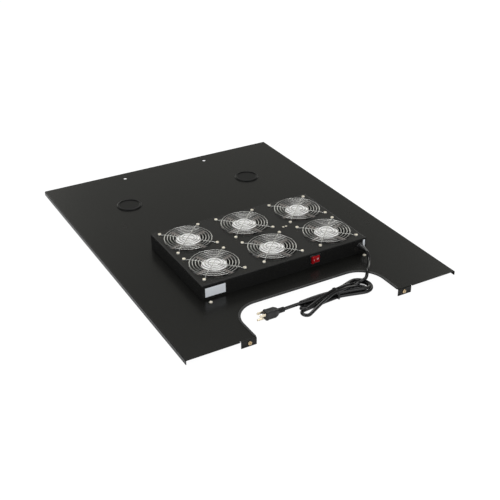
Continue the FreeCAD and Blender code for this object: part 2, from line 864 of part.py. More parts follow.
def fan_loom():
    """Sleeved fan leads along the gap between the rows, with a branch to each fan."""
    z = housing_under - loom_drop
    reach = fan_pitch_y / 2 - fan_bore_radius - fan_tube_wall
    spans = (
        (-fan_pitch_x - loom_end_inset, block_x - block_length / 2),
        (block_x + block_length / 2, fan_pitch_x + loom_end_inset),
    )
    runs = []
    for x0, x1 in spans:
        run = flatted_rod(loom_radius, screw_flats, Vector(x0, grid_y, z), Vector(x1 - x0, 0, 0))
        branches = []
        for name, (x, _) in fans.items():
            if x0 < x < x1:
                toward = Vector(0, reach if name.startswith("rear") else -reach, 0)
                branches.append(flatted_rod(branch_radius, screw_flats, Vector(x, grid_y, z), toward))
        runs.append(run.fuse(branches).removeSplitter())
    return runs


def switch_lead():
    """The lead from the switch's lower tabs straight back to the terminal block."""
    start_y = housing_front + switch_body_depth + terminal_length
    end_y = grid_y + block_y_offset - block_width / 2
    z = switch_z + terminal_spacing_z / 2
    x = switch_x + terminal_spacing_x / 2
    return flatted_rod(switch_lead_radius, screw_flats, Vector(x, start_y, z), Vector(0, end_y - start_y, 0))


# ------------------------------------------------------------------------ labels
def front_label(x0, width, height, below_top):
    z1 = housing_top - below_top
    return block(x0, x0 + width, housing_front - label_thickness, housing_front, z1 - height, z1)


# -------------------------------------------------------------------- mains cord
def strain_relief():
    """Snap-in bush with a tapered boot that the cord leaves by."""
    centre = Vector(relief_x, housing_front, relief_z)
    flange = flatted_rod(relief_flange_radius, hub_flats, centre, Vector(0, -relief_flange_depth, 0))
    barrel = flatted_rod(relief_inner_radius, hub_flats, centre, Vector(0, housing_gauge + relief_inner_length, 0))
    taper_start = centre + Vector(0, -relief_flange_depth, 0)
    taper_run = Vector(0, relief_flange_depth - relief_length, 0)
    boot = flatted_taper(relief_root_radius, relief_tip_radius, hub_flats, taper_start, taper_run)
    return flange.fuse([barrel, boot]).removeSplitter()


def cord_tube(route, name):
    """Round cord along straight runs joined by tangent arcs, as large as the runs allow."""
    edges = []
    at = route[0]
    length = 0.0
    radii = []
    for before, point, after in zip(route, route[1:], route[2:]):
        back = before - point
        on = after - point
        turn = math.pi - back.getAngle(on)
        setback = cord_bend_share * min(back.Length, on.Length)
        radius = setback / math.tan(turn / 2)
        start = point + back.normalize() * setback
        end = point + on.normalize() * setback
        inward = (back + on).normalize()
        middle = point + inward * (radius / math.cos(turn / 2) - radius)
        edges += [line(at, start), arc(start, middle, end)]
        length += at.distanceToPoint(start) + radius * turn
        radii.append(round(radius, 1))
        at = end
    edges.append(line(at, route[-1]))
    length += at.distanceToPoint(route[-1])
    spine = Part.Wire(edges)
    ring = flatted_loop(cord_radius, cord_flats, route[0], route[1] - route[0])
    tube = spine.makePipeShell([ring], True, True)
    section = cord_flats * cord_radius**2 * math.tan(math.pi / cord_flats)
    print(f"{name}: length {length:.1f} mm, radii {radii}, volume ratio {tube.Volume / (section * length):.4f}")
    return tube


def hank_lobe(lobe):
    """A flattened bundle of loops, as an oval slab."""
    angles = [2 * math.pi * step / hank_flats for step in range(hank_flats)]
    slab = polygon_face([Vector(lobe["long"] * math.cos(a), lobe["short"] * math.sin(a), 0) for a in angles])
    slab = slab.extrude(Vector(0, 0, lobe["height"]))
    slab.rotate(Vector(0, 0, 0), Vector(0, 0, 1), lobe["turn"])
    slab.translate(Vector(lobe["x"], lobe["y"], 0))
    return slab


def cord_hank():
    half = waist_width / 2
    waist = block(
        tie_x - waist_length / 2,
        tie_x + waist_length / 2,
        tie_y - half,
        tie_y + half,
        tie_gauge,
        tie_gauge + waist_height,
    )
    reach = right_lobe["long"]
    gap = block(tie_x - tie_width, tie_x + tie_width, tie_y - reach, tie_y + reach, 0, waist_height)
    lobes = [hank_lobe(right_lobe), hank_lobe(left_lobe)]
    return waist.fuse([lobe.cut(gap) for lobe in lobes]).removeSplitter()


def cord_tie():
    """A strap closed round the hank's waist."""
    half = waist_width / 2
    x0 = tie_x - tie_width / 2
    x1 = tie_x + tie_width / 2
    high = tie_gauge + waist_height
    outer = block(x0, x1, tie_y - half - tie_gauge, tie_y + half + tie_gauge, 0, high + tie_gauge)
    return outer.cut(block(x0, x1, tie_y - half, tie_y + half, tie_gauge, high))


def plug_body():
    """Moulded plug: a body that narrows at the shoulders to a round neck over the cord."""
    face_x = plug_back_x - plug_body_length
    half = plug_body_width / 2
    neck = plug_neck_radius
    plan = [
        Vector(face_x, plug_y - half, 0),
        Vector(plug_back_x - plug_shoulder, plug_y - half, 0),
        Vector(plug_back_x, plug_y - neck, 0),
        Vector(plug_back_x, plug_y + neck, 0),
        Vector(plug_back_x - plug_shoulder, plug_y + half, 0),
        Vector(face_x, plug_y + half, 0),
    ]
    body = polygon_face(plan).extrude(Vector(0, 0, plug_body_height))
    rims = [edge for edge in body.Edges if abs(edge.Vertexes[0].Z - edge.Vertexes[-1].Z) < 1e-6]
    long_rims = [edge for edge in rims if abs(edge.Vertexes[0].Y - edge.Vertexes[-1].Y) < 1e-6]
    body = body.makeFillet(plug_corner_radius, long_rims)
    neck_start = Vector(plug_back_x - 1, plug_y, plug_body_height / 2)
    return body.fuse(flatted_rod(neck, boss_flats, neck_start, Vector(plug_neck_length + 1, 0, 0))).removeSplitter()


def plug_pins():
    """Two flat blades and a round earth pin."""
    face_x = plug_back_x - plug_body_length
    z = plug_body_height / 2
    blades = []
    for side in (-1, 1):
        y = plug_y + side * blade_pin_spacing / 2
        thin = blade_pin_gauge / 2
        half = blade_pin_width / 2
        z_blade = z + earth_pin_offset / 2 - 1
        blades.append(block(face_x - blade_pin_length, face_x, y - thin, y + thin, z_blade - half, z_blade + half))
    earth_start = Vector(face_x, plug_y, z - earth_pin_offset / 2 - 1)
    return blades + [flatted_rod(earth_pin_radius, boss_flats, earth_start, Vector(-earth_pin_length, 0, 0))]


# -------------------------------------------------------------------- all nodes
save("roof_panel", roof_panel())
save("cutout_trim", cutout_trim())
save("fan_housing", fan_housing())
for place, (fan_x, fan_y) in fans.items():
    save(f"fan_frame_{place}", fan_frame(fan_x, fan_y))
    save(f"fan_rotor_{place}", fan_rotor(fan_x, fan_y))
    save(f"finger_guard_{place}", finger_guard(fan_x, fan_y))
save("bearing_sleeves", *[bearing_sleeve(x, y) for x, y in fans.values()])
save("guard_screws", *guard_screws())
save("flange_screws", *flange_screws())
save("flange_nuts", *flange_nuts())
save("tab_screws", *tab_screws())
save("tab_retainers", *tab_retainers())
save("blanking_plugs", *[blanking_plug(x, y) for x, y in plug_spots])
save("switch_body", switch_body())
save("switch_rocker", switch_rocker())
save("switch_terminals", *switch_terminals())
save("terminal_block", terminal_block())
save("block_screws", *block_screws())
save("fan_loom", *fan_loom())
save("switch_lead", switch_lead())
save("front_label", front_label(-housing_half + label_from_side, label_width, label_height, label_below_top))
strip_x = housing_half - strip_from_side - strip_width
save("strip_label", front_label(strip_x, strip_width, strip_height, strip_below_top))
save("strain_relief", strain_relief())
save("cord_lead", cord_tube(lead_route, "cord_lead"))
save("cord_hank", cord_hank())
save("cord_tail", cord_tube(tail_route, "cord_tail"))
save("cord_tie", cord_tie())
save("plug_body", plug_body())
save("plug_pins", *plug_pins())
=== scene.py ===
import math

import bmesh
import bpy
import numpy as np
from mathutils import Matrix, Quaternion, Vector


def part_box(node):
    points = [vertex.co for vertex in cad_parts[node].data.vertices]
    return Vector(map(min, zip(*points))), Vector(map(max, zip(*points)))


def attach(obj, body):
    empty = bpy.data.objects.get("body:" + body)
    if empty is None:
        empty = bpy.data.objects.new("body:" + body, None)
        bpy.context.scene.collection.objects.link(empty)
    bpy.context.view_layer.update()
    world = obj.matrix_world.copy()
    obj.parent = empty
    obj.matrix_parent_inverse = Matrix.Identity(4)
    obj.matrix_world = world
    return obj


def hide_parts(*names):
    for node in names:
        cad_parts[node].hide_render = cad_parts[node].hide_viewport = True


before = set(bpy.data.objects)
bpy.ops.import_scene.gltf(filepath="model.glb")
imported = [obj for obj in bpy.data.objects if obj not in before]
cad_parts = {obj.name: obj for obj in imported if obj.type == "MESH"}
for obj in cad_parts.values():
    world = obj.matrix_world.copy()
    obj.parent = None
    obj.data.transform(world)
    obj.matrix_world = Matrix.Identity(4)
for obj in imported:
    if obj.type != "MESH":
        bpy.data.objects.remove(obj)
scene = bpy.context.scene
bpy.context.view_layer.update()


# ---------------------------- the camera
# A long lens from the front left, a third of a right angle above the horizon.
# It looks at a spot on the fan housing's top, a little in front of its middle.
camera_azimuth = math.radians(-29.44)
camera_elevation = math.radians(29.94)
camera_roll = math.radians(-0.19)
camera_distance = 2.128
housing_low, housing_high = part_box("fan_housing")
aim = Vector((-0.0516, -0.1786, housing_high.z))

level = math.cos(camera_elevation)
rise = math.sin(camera_elevation)
away = Vector((math.sin(camera_azimuth) * level, -math.cos(camera_azimuth) * level, rise))
camera = bpy.data.objects.new("camera", bpy.data.cameras.new("camera"))
camera.data.lens = 64.22
camera.data.sensor_width = 36.0
camera.data.clip_end = 50.0
camera.location = aim + away * camera_distance
camera.rotation_mode = "QUATERNION"
camera.rotation_quaternion = (-away).to_track_quat("-Z", "Y") @ Quaternion((0, 0, 1), camera_roll)
scene.collection.objects.link(camera)
scene.camera = camera


# ---------------------------- the studio
# A white sweep under soft lamps. The floor keeps a faint shadow of the object, and under the housing a
# painted shadow.
# Gloss sees a dim room with two bright walls behind the object, left and right of it.
scene.view_settings.view_transform = "Standard"


def shader_tree(owner):
    """Turns on a material's or a world's nodes, and gives its nodes and its links."""
    owner.use_nodes = True
    return owner.node_tree.nodes, owner.node_tree.links


def add_node(nodes, kind, inputs=None, **settings):
    """A new shader node with its settings and its unlinked inputs filled in."""
    node = nodes.new("ShaderNode" + kind)
    for name, value in settings.items():
        setattr(node, name, value)
    for name, value in (inputs or {}).items():
        node.inputs[name].default_value = value
    return node


def dot_with(nodes, links, heading, axis):
    """How far a direction points along an axis, from -1 to 1."""
    dot = add_node(nodes, "VectorMath", {1: axis}, operation="DOT_PRODUCT")
    links.new(heading.outputs["Generated"], dot.inputs[0])
    return dot.outputs["Value"]


def studio_world(diffuse_strength, gloss_strength):
    """White to the camera, an even pale light, and a room of its own to gloss."""
    world = bpy.data.worlds.new("studio")
    nodes, links = shader_tree(world)
    path = add_node(nodes, "LightPath")
    seen = add_node(nodes, "Background", {"Color": (1, 1, 1, 1), "Strength": 1.0})
    light = add_node(nodes, "Background", {"Color": (0.98, 0.99, 1.0, 1), "Strength": diffuse_strength})
    gloss = add_node(nodes, "Background", {"Strength": gloss_strength})

    heading = add_node(nodes, "TexCoord")
    forward = (-math.sin(camera_azimuth), math.cos(camera_azimuth), 0)
    sideways = (math.cos(camera_azimuth), math.sin(camera_azimuth), 0)
    offside = add_node(nodes, "Math", operation="ABSOLUTE")
    links.new(dot_with(nodes, links, heading, sideways), offside.inputs[0])
    walls = add_node(nodes, "ValToRGB")
    stops = walls.color_ramp.elements
    stops[0].color = (0.20, 0.20, 0.185, 1)
    stops[1].color = (0.08, 0.08, 0.08, 1)
    for spot, shade in ((0.22, 0.20), (0.34, 1.0), (0.56, 1.0), (0.70, 0.10)):
        stop = stops.new(spot)
        stop.color = (shade, shade, shade * 0.94, 1)
    links.new(offside.outputs["Value"], walls.inputs["Fac"])
    behind = add_node(nodes, "MapRange", {"From Min": 0.50, "From Max": 0.75})
    links.new(dot_with(nodes, links, heading, forward), behind.inputs["Value"])
    room = add_node(nodes, "Mix", {"A": (0.14, 0.14, 0.14, 1)}, data_type="RGBA")
    links.new(behind.outputs["Result"], room.inputs["Factor"])
    links.new(walls.outputs["Color"], room.inputs["B"])
    links.new(room.outputs["Result"], gloss.inputs["Color"])

    either = add_node(nodes, "Math", operation="MAXIMUM")
    links.new(path.outputs["Is Glossy Ray"], either.inputs[0])
    links.new(path.outputs["Is Transmission Ray"], either.inputs[1])
    first = add_node(nodes, "MixShader")
    second = add_node(nodes, "MixShader")
    links.new(either.outputs[0], first.inputs[0])
    links.new(light.outputs[0], first.inputs[1])
    links.new(gloss.outputs[0], first.inputs[2])
    links.new(path.outputs["Is Camera Ray"], second.inputs[0])
    links.new(first.outputs[0], second.inputs[1])
    links.new(seen.outputs[0], second.inputs[2])
    links.new(second.outputs[0], nodes["World Output"].inputs["Surface"])
    return world


scene.world = studio_world(diffuse_strength=0.78, gloss_strength=2.0)
lamp_target = Vector((0, -0.1, 0))


def soft_lamp(name, place, size, power):
    """A square area lamp that faces the object."""
    lamp = bpy.data.objects.new(name, bpy.data.lights.new(name, "AREA"))
    lamp.data.shape = "SQUARE"
    lamp.data.size = size
    lamp.data.energy = power
    lamp.location = place
    lamp.rotation_mode = "QUATERNION"
    lamp.rotation_quaternion = (lamp_target - Vector(place)).to_track_quat("-Z", "Y")
    scene.collection.objects.link(lamp)


soft_lamp("top_lamp", (0.3, 0.6, 2.4), size=1.3, power=20)
soft_lamp("left_lamp", (-2.2, -0.6, 1.6), size=1.4, power=12)
soft_lamp("front_lamp", (0.6, -2.4, 1.5), size=1.4, power=12)


def floor_white():
    """Matt white that glows to the camera, but not under the housing, where the missing glow is a painted
    shadow.
    """
    material = bpy.data.materials.new("floor_white")
    nodes, links = shader_tree(material)
    nodes.remove(nodes["Principled BSDF"])
    matt = add_node(nodes, "BsdfDiffuse", {"Color": (0.9, 0.9, 0.9, 1)})
    glow = add_node(nodes, "Emission", {"Strength": 1.06})
    glow_share = add_node(nodes, "Math", {1: 0.92}, operation="MULTIPLY")
    path = add_node(nodes, "LightPath")
    blend = add_node(nodes, "MixShader")

    # Over most of the housing's footprint the glow fades out: a painted shadow on the floor.
    front_inset = 0.04
    rear_reach = 0.12
    low = np.array([housing_low.x, housing_low.y + front_inset, -1])
    high = np.array([housing_high.x, housing_high.y + rear_reach, 1])
    place = add_node(nodes, "TexCoord").outputs["Object"]
    steps = [("SUBTRACT", (low + high) / 2), ("DIVIDE", (high - low) / 2), ("ABSOLUTE", (0, 0, 0))]
    for operation, amount in steps:
        step = add_node(nodes, "VectorMath", {1: amount}, operation=operation)
        links.new(place, step.inputs[0])
        place = step.outputs["Vector"]
    axes = add_node(nodes, "SeparateXYZ")
    edge = add_node(nodes, "Math", operation="MAXIMUM")
    fade = add_node(nodes, "MapRange", {"From Min": 0.85, "From Max": 1.0})
    unshaded_floor = add_node(nodes, "Math", operation="MULTIPLY")
    links.new(place, axes.inputs[0])
    links.new(axes.outputs["X"], edge.inputs[0])
    links.new(axes.outputs["Y"], edge.inputs[1])
    links.new(edge.outputs[0], fade.inputs["Value"])
    links.new(fade.outputs["Result"], unshaded_floor.inputs[0])
    links.new(path.outputs["Is Camera Ray"], unshaded_floor.inputs[1])
    links.new(unshaded_floor.outputs[0], glow_share.inputs[0])
    links.new(glow_share.outputs[0], blend.inputs[0])
    links.new(matt.outputs[0], blend.inputs[1])
    links.new(glow.outputs[0], blend.inputs[2])
    links.new(blend.outputs[0], nodes["Material Output"].inputs["Surface"])
    return material


floor_mesh = bpy.data.meshes.new("floor")
floor_mesh.from_pydata([(-8, -8, 0), (8, -8, 0), (8, 8, 0), (-8, 8, 0)], [], [(0, 1, 2, 3)])
floor_mesh.materials.append(floor_white())
floor = bpy.data.objects.new("floor", floor_mesh)
scene.collection.objects.link(floor)


# ------------------------ the mains cord
# Round black PVC cord, 8 mm thick and 1.6 m long, from the bush in the housing's front
# to the plug. Most of it is wound in long turns and tied in the middle.
cord_diameter = 0.008
cord_radius = cord_diameter / 2
tie_centre = np.array([0.0595, -0.3816])
waist_reach = 0.008

lead_route = [
    (0.2060, -0.2886, 0.0400),
    (0.2060, -0.2975, 0.0386),
    (0.2046, -0.3070, 0.0316),
    (0.1985, -0.3175, 0.0254),
    (0.1885, -0.3300, 0.0246),
    (0.1780, -0.3425, 0.0254),
    (0.1680, -0.3530, 0.0236),
    (0.1615, -0.3600, 0.0145),
    (0.1555, -0.3640, 0.0131),
    (0.1490, -0.3662, 0.0136),
    (0.1415, -0.3666, 0.0118),
    (0.1330, -0.3658, 0.0068),
    (0.1240, -0.3652, 0.0044),
    (0.1120, -0.3658, 0.0041),
    (0.0980, -0.3680, 0.0043),
    (0.0840, -0.3702, 0.0052),
]

# Where each pass of the cord lies in the tied waist: across the bundle and above the floor
waist_slots = [
    (0.0094, 0.0060),
    (0.0056, 0.0142),
    (-0.0070, 0.0060),
    (-0.0072, 0.0218),
    (0.0012, 0.0060),
    (0.0012, 0.0220),
    (-0.0030, 0.0136),
]

# One entry for each end loop, in the order the cord runs: reach, radius of the round end,
# lean to the front, height on the way out, at the tip and on the way back. A negative
# radius swings the loop the other way round.
left_loops = [
    (0.0810, -0.0076, -0.0110, 0.0041, 0.0041, 0.0041),
    (0.0970, 0.0105, 0.0235, 0.0041, 0.0041, 0.0041),
    (0.0930, 0.0082, 0.0126, 0.0041, 0.0118, 0.0126),
]
right_loops = [
    (0.0925, 0.0268, -0.0068, 0.0078, 0.0041, 0.0041),
    (0.0731, 0.0090, 0.0008, 0.0041, 0.0041, 0.0041),
    (0.0841, 0.0197, -0.0050, 0.0041, 0.0058, 0.0116),
]


def end_loop(side, slot_out, slot_back, loop):
    """Control points of one teardrop turn, from the waist round its end and back.

    Two straight strands touch the circle of the round end. A tangent point lies at
    direction + way * (pi - acos(radius / distance)), seen from the circle's centre.
    """
    reach, swing, lean, out_height, tip_height, back_height = loop
    radius = abs(swing)
    centre = np.array([waist_reach + reach - radius, -lean])
    way = math.copysign(1, swing)
    angles = []
    for slot, sense in ((slot_out, way), (slot_back, -way)):
        gap = centre - (waist_reach, slot[0])
        opening = np.pi - np.arccos(radius / np.hypot(*gap))
        angles.append(np.arctan2(gap[1], gap[0]) + sense * opening)
    turn = np.linspace(0, 1, 11)
    angle = angles[0] + (angles[1] - angles[0]) * turn
    arc = centre + radius * np.stack([np.cos(angle), np.sin(angle)], axis=1)
    heights = np.interp(turn, (0, 0.5, 1), (out_height, tip_height, back_height))
    arc = np.column_stack([arc, heights])
    first = np.array([waist_reach, *slot_out])
    last = np.array([waist_reach, *slot_back])
    shares = (0, 0.3, 0.65)
    out_strand = [first + (arc[0] - first) * (share, share, share**1.7) for share in shares]
    back_strand = [last + (arc[-1] - last) * (share, share, share**1.7) for share in shares[::-1]]
    local = np.array([*out_strand, *arc, *back_strand])
    return (local * (side, 1, 1) + (*tie_centre, 0)).tolist()


hank_route = []
for turn_number, (left_loop, right_loop) in enumerate(zip(left_loops, right_loops)):
    slot_in, slot_across, slot_out = waist_slots[2 * turn_number : 2 * turn_number + 3]
    hank_route += end_loop(-1, slot_in, slot_across, left_loop)
    hank_route += end_loop(1, slot_across, slot_out, right_loop)

tail_route = [
    (0.0480, -0.3846, 0.0136),
    (0.0180, -0.3814, 0.0138),
    (-0.0140, -0.3789, 0.0137),
    (-0.0465, -0.3769, 0.0124),
    (-0.0775, -0.3766, 0.0113),
]


def noise_bump(nodes, links, shader, scale, strength):
    """Fine relief on a shader, from noise in object coordinates."""
    place = add_node(nodes, "TexCoord")
    noise = add_node(nodes, "TexNoise", {"Scale": scale, "Detail": 2.0})
    bump = add_node(nodes, "Bump", {"Strength": strength, "Distance": 0.0002})
    links.new(place.outputs["Object"], noise.inputs["Vector"])
    links.new(noise.outputs["Fac"], bump.inputs["Height"])
    links.new(bump.outputs["Normal"], shader.inputs["Normal"])


def finish(name, dark, light, rough, patch, metal=0.0, gloss=0.5, coat=0.0, grain=900.0, relief=0.1):
    """A surface whose colour and roughness wander between two values over patches.

    dark and light are the two colours, rough the two roughnesses, and patch the
    number of patches to the metre. grain and relief are the fineness and height of its bump.
    """
    material = bpy.data.materials.new(name)
    nodes, links = shader_tree(material)
    shader = nodes["Principled BSDF"]
    sheen = {"Metallic": metal, "Specular IOR Level": gloss, "Coat Weight": coat, "Coat Roughness": 0.08}
    for socket, value in sheen.items():
        shader.inputs[socket].default_value = value
    place = add_node(nodes, "TexCoord")
    cloud = add_node(nodes, "TexNoise", {"Scale": patch, "Detail": 4.0})
    tint = add_node(nodes, "Mix", {"A": (*dark, 1), "B": (*light, 1)}, data_type="RGBA")
    wear = add_node(nodes, "MapRange", {"To Min": rough[0], "To Max": rough[1]})
    links.new(place.outputs["Object"], cloud.inputs["Vector"])
    links.new(cloud.outputs["Fac"], tint.inputs["Factor"])
    links.new(cloud.outputs["Fac"], wear.inputs["Value"])
    links.new(tint.outputs["Result"], shader.inputs["Base Color"])
    links.new(wear.outputs["Result"], shader.inputs["Roughness"])
    noise_bump(nodes, links, shader, grain, relief)
    return material


cord_pvc = finish(
    "cord_pvc", (0.0030, 0.0030, 0.0033), (0.0050, 0.0050, 0.0054), (0.09, 0.14), 90, grain=1500, relief=0.06
)


def cord_curve(name, route):
    """One smooth NURBS line through the air near its control points, with a round section."""
    curve = bpy.data.curves.new(name, "CURVE")
    curve.dimensions = "3D"
    line = curve.splines.new("NURBS")
    line.points.add(len(route) - 1)
    line.points.foreach_set("co", np.column_stack([np.array(route), np.ones(len(route))]).ravel())
    line.order_u = 3
    line.use_endpoint_u = True
    line.resolution_u = 6
    curve.bevel_depth = cord_radius
    curve.bevel_resolution = 5
    curve.use_fill_caps = True
    piece = bpy.data.objects.new(name, curve)
    scene.collection.objects.link(piece)
    return piece


mains_cord = cord_curve("mains_cord", [*lead_route, *hank_route, *tail_route])
mains_cord.data.materials.append(cord_pvc)
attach(mains_cord, "tray")
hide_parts("cord_lead", "cord_hank", "cord_tail")


# ------------------ the plug on the cord
# A moulded three-pin plug: a grip with flat cheeks that narrows to a ribbed sleeve.
# The cord is moulded in, and the pins are nickel-plated brass.
plug_low, plug_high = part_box("plug_body")
earth_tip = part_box("plug_pins")[0].x
plug_middle = (plug_low + plug_high) / 2


def closed_mesh(name, shells):
    """A mesh of closed shells. Each shell is rows of loops of points, and how it closes.

    True joins the last loop to the first. "zip" draws each end loop together across its
    own middle line, and False draws it to its middle point. Doubles are merged and faces
    turned outwards.
    """
    points = []
    faces = []
    start = 0
    for rows, closing in shells:
        rows = np.asarray(rows, float)
        ring = closing is True
        if closing == "zip":
            ends = [(row + row[::-1]) / 2 for row in (rows[0], rows[-1])]
            rows = np.concatenate([ends[:1], rows, ends[1:]])
        elif not ring:
            ends = [np.broadcast_to(row.mean(axis=0), row.shape) for row in (rows[0], rows[-1])]
            rows = np.concatenate([ends[:1], rows, ends[1:]])
        count, around = rows.shape[:2]
        here = np.arange(count if ring else count - 1)[:, None]
        there = (here + 1) % count
        step = np.arange(around)[None, :]
        on = (step + 1) % around
        quads = np.stack(
            [here * around + step, here * around + on, there * around + on, there * around + step], axis=-1
        )
        points.append(rows.reshape(-1, 3))
        faces.append(quads.reshape(-1, 4) + start)
        start += count * around
    mesh = bpy.data.meshes.new(name)
    mesh.from_pydata(np.concatenate(points).tolist(), [], np.concatenate(faces).tolist())
    shape = bmesh.new()
    shape.from_mesh(mesh)
    bmesh.ops.remove_doubles(shape, verts=shape.verts, dist=1e-6)
    bmesh.ops.dissolve_degenerate(shape, edges=shape.edges, dist=1e-7)
    bmesh.ops.recalc_face_normals(shape, faces=shape.faces)
    shape.to_mesh(mesh)
    shape.free()
    mesh.shade_smooth()
    mesh.set_sharp_from_angle(angle=math.radians(38))
    return mesh


def add_piece(name, shells, material, body="tray", replaces=()):
    """A finished piece that rides on a body and may stand for CAD nodes."""
    piece = bpy.data.objects.new(name, closed_mesh(name, shells))
    scene.collection.objects.link(piece)
    piece.data.materials.append(material)
    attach(piece, body)
    if replaces:
        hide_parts(*replaces)
    return piece


def angles_round(count):
    """Equal steps round a circle, without the last, which would repeat the first."""
    return np.linspace(0, 2 * np.pi, count, endpoint=False)


def lathe(profile, axis, centre, count=64):
    """Loops about a line along axis 0, 1 or 2, from pairs of radius and place on it."""
    radius, place = np.asarray(profile, float).T[..., None]
    angle = angles_round(count)
    level, other = [number for number in range(3) if number != axis]
    rows = np.empty((len(radius), count, 3))
    rows[..., level] = centre[0] + radius * np.cos(angle)
    rows[..., other] = centre[1] + radius * np.sin(angle)
    rows[..., axis] = place
    return rows


def rounded_loop(half_a, half_b, power, count):
    """Points round a superellipse: power 2 is an ellipse, and more is squarer."""
    angle = angles_round(count)
    cosine = np.cos(angle)
    sine = np.sin(angle)
    a = half_a * np.sign(cosine) * np.abs(cosine) ** (2 / power)
    b = half_b * np.sign(sine) * np.abs(sine) ** (2 / power)
    return np.stack([a, b], axis=1)


def plug_grip():
    """Sections of the plug along its length, from the pin face to the sleeve's end."""
    half_y = (plug_high.y - plug_low.y) / 2
    half_z = (plug_high.z - plug_low.z) / 2
    face = plug_low.x
    stations = [
        (0.0, 0.86, 0.86, 5.0),
        (0.0006, 0.94, 0.94, 5.5),
        (0.0022, 1.0, 1.0, 6.0),
        (0.0060, 1.0, 1.0, 6.0),
        (0.0068, 0.95, 0.95, 6.0),
        (0.0220, 0.94, 0.95, 6.0),
        (0.0232, 0.98, 0.98, 5.5),
        (0.0262, 0.96, 0.96, 5.0),
        (0.0315, 0.80, 0.80, 4.0),
        (0.0345, 0.66, 0.66, 3.0),
        (0.0360, 0.60, 0.58, 2.4),
    ]
    rows = []
    for x, share_y, share_z, power in stations:
        loop = rounded_loop(half_y * share_y, half_z * share_z, power, 40)
        rows.append([(face + x, plug_middle.y + a, plug_middle.z + b) for a, b in loop])
    return rows


def ribbed_sleeve(start, end, thick, thin, ribs):
    """The plug's sleeve along X, turned on a lathe, whose radius falls from rib to groove."""
    along = np.linspace(0, 1, ribs * 8 + 1)
    groove = 0.5 - 0.5 * np.cos(2 * np.pi * ribs * along)
    radius = thick - (thick - thin) * np.clip(groove * 1.6 - 0.3, 0, 1)
    profile = np.stack([radius, start + (end - start) * along], axis=1)
    return lathe(profile, 0, (plug_middle.y, plug_middle.z), 28)


plug_pvc = finish(
    "plug_pvc", (0.0065, 0.0065, 0.0070), (0.0110, 0.0110, 0.0115),
    (0.34, 0.45), 120, gloss=0.4, grain=2500, relief=0.25,
)
sleeve_length = 0.0150
plug_sleeve = ribbed_sleeve(plug_high.x - sleeve_length, plug_high.x, thick=0.0062, thin=0.0049, ribs=4)
plug_shells = [(plug_grip(), False), (plug_sleeve, False)]
plug_piece = add_piece("plug_grip", plug_shells, plug_pvc, replaces=["plug_body"])

pin_face = plug_low.x + 0.0004
flat_length = 0.0164
flat_side = 0.00635
flat_z = plug_middle.z + 0.00495
flat_half_height = 0.0032
flat_half_gauge = 0.00075
earth_z = plug_middle.z - 0.00695
earth_radius = 0.0024


def flat_pin(y):
    """A flat pin with a rounded tip, as sections along its length."""
    rows = []
    for share, size in ((0.0, 1.0), (0.86, 1.0), (0.93, 0.86), (0.975, 0.62), (1.0, 0.34)):
        x = pin_face - flat_length * share
        loop = rounded_loop(flat_half_gauge * (0.5 + size / 2), flat_half_height * size, 7, 24)
        rows.append([(x, y + a, flat_z + b) for a, b in loop])
    return rows


def earth_pin():
    """A round pin with a domed tip."""
    stations = ((0.0, 1.0), (0.88, 1.0), (0.94, 0.9), (0.98, 0.62), (1.0, 0.28))
    profile = [(earth_radius * size, pin_face + (earth_tip - pin_face) * share) for share, size in stations]
    return lathe(profile, 0, (plug_middle.y, earth_z), 24)


pin_nickel = finish(
    "pin_nickel", (0.72, 0.60, 0.40), (0.86, 0.80, 0.68), (0.16, 0.3), 200, metal=1.0, grain=1200, relief=0.05
)
pins = [flat_pin(plug_middle.y - flat_side), flat_pin(plug_middle.y + flat_side), earth_pin()]
pin_shells = [(pin, False) for pin in pins]
pins_piece = add_piece("plug_pins_plated", pin_shells, pin_nickel, replaces=["plug_pins"])


# -------------- the strap round the hank
# A plastic-covered wire, wound twice round the waist of the hank. One end is tucked out
# at the back and the other at the front.
strap_wire = 0.0009
strap_end_wire = 0.0019
strap_half_width = 0.0132
strap_half_height = 0.0113
strap_z = 0.0126


def wire_rows(path, radius, sides=10):
    """Round sections carried along a path that is nowhere upright."""
    path = np.asarray(path, float)
    heading = np.gradient(path, axis=0)
    heading /= np.linalg.norm(heading, axis=1)[:, None]
    across = np.cross(heading, (0.0, 0.0, 1.0))
    across /= np.linalg.norm(across, axis=1)[:, None]
    above = np.cross(across, heading)
    angle = angles_round(sides)
    level = across[:, None, :] * np.cos(angle)[None, :, None]
    rise = above[:, None, :] * np.sin(angle)[None, :, None]
    return path[:, None, :] + radius * (level + rise)


def strap_band(x):
    """A closed band of wire round the waist, in the plane across the cord."""
    around = 48
    turn = angles_round(around)[:, None]
    loop = rounded_loop(strap_half_width, strap_half_height, 2.6, around)
    angle = angles_round(8)
    rows = np.empty((around, len(angle), 3))
    rows[..., 0] = x + strap_wire * np.cos(angle)
    rows[..., 1] = tie_centre[1] + loop[:, 0:1] + strap_wire * np.sin(angle) * np.cos(turn)
    rows[..., 2] = strap_z + loop[:, 1:2] + strap_wire * np.sin(angle) * np.sin(turn)
    return rows


def strap_end(across, length, drop):
    """A short end of the strap that stands out across the cord and dips away."""
    share = np.linspace(0, 1, 14)
    x = tie_centre[0] - 0.0004 - 0.5 * length * share**1.5
    y = tie_centre[1] + across * (0.0120 + length * share)
    z = 0.0100 - drop * share**2
    return wire_rows(np.stack([x, y, z], axis=1), strap_end_wire)


tie_plastic = finish("tie_plastic", (0.012, 0.012, 0.012), (0.022, 0.022, 0.022), (0.3, 0.45), 200)
tie_piece = add_piece(
    "cord_tie_wound",
    [
        (strap_band(tie_centre[0] - 0.0016), True),
        (strap_band(tie_centre[0] + 0.0008), True),
        (strap_end(-1, length=0.0060, drop=0.0030), False),
        (strap_end(1, length=0.0065, drop=0.0020), False),
    ],
    tie_plastic,
    replaces=["cord_tie"],
)


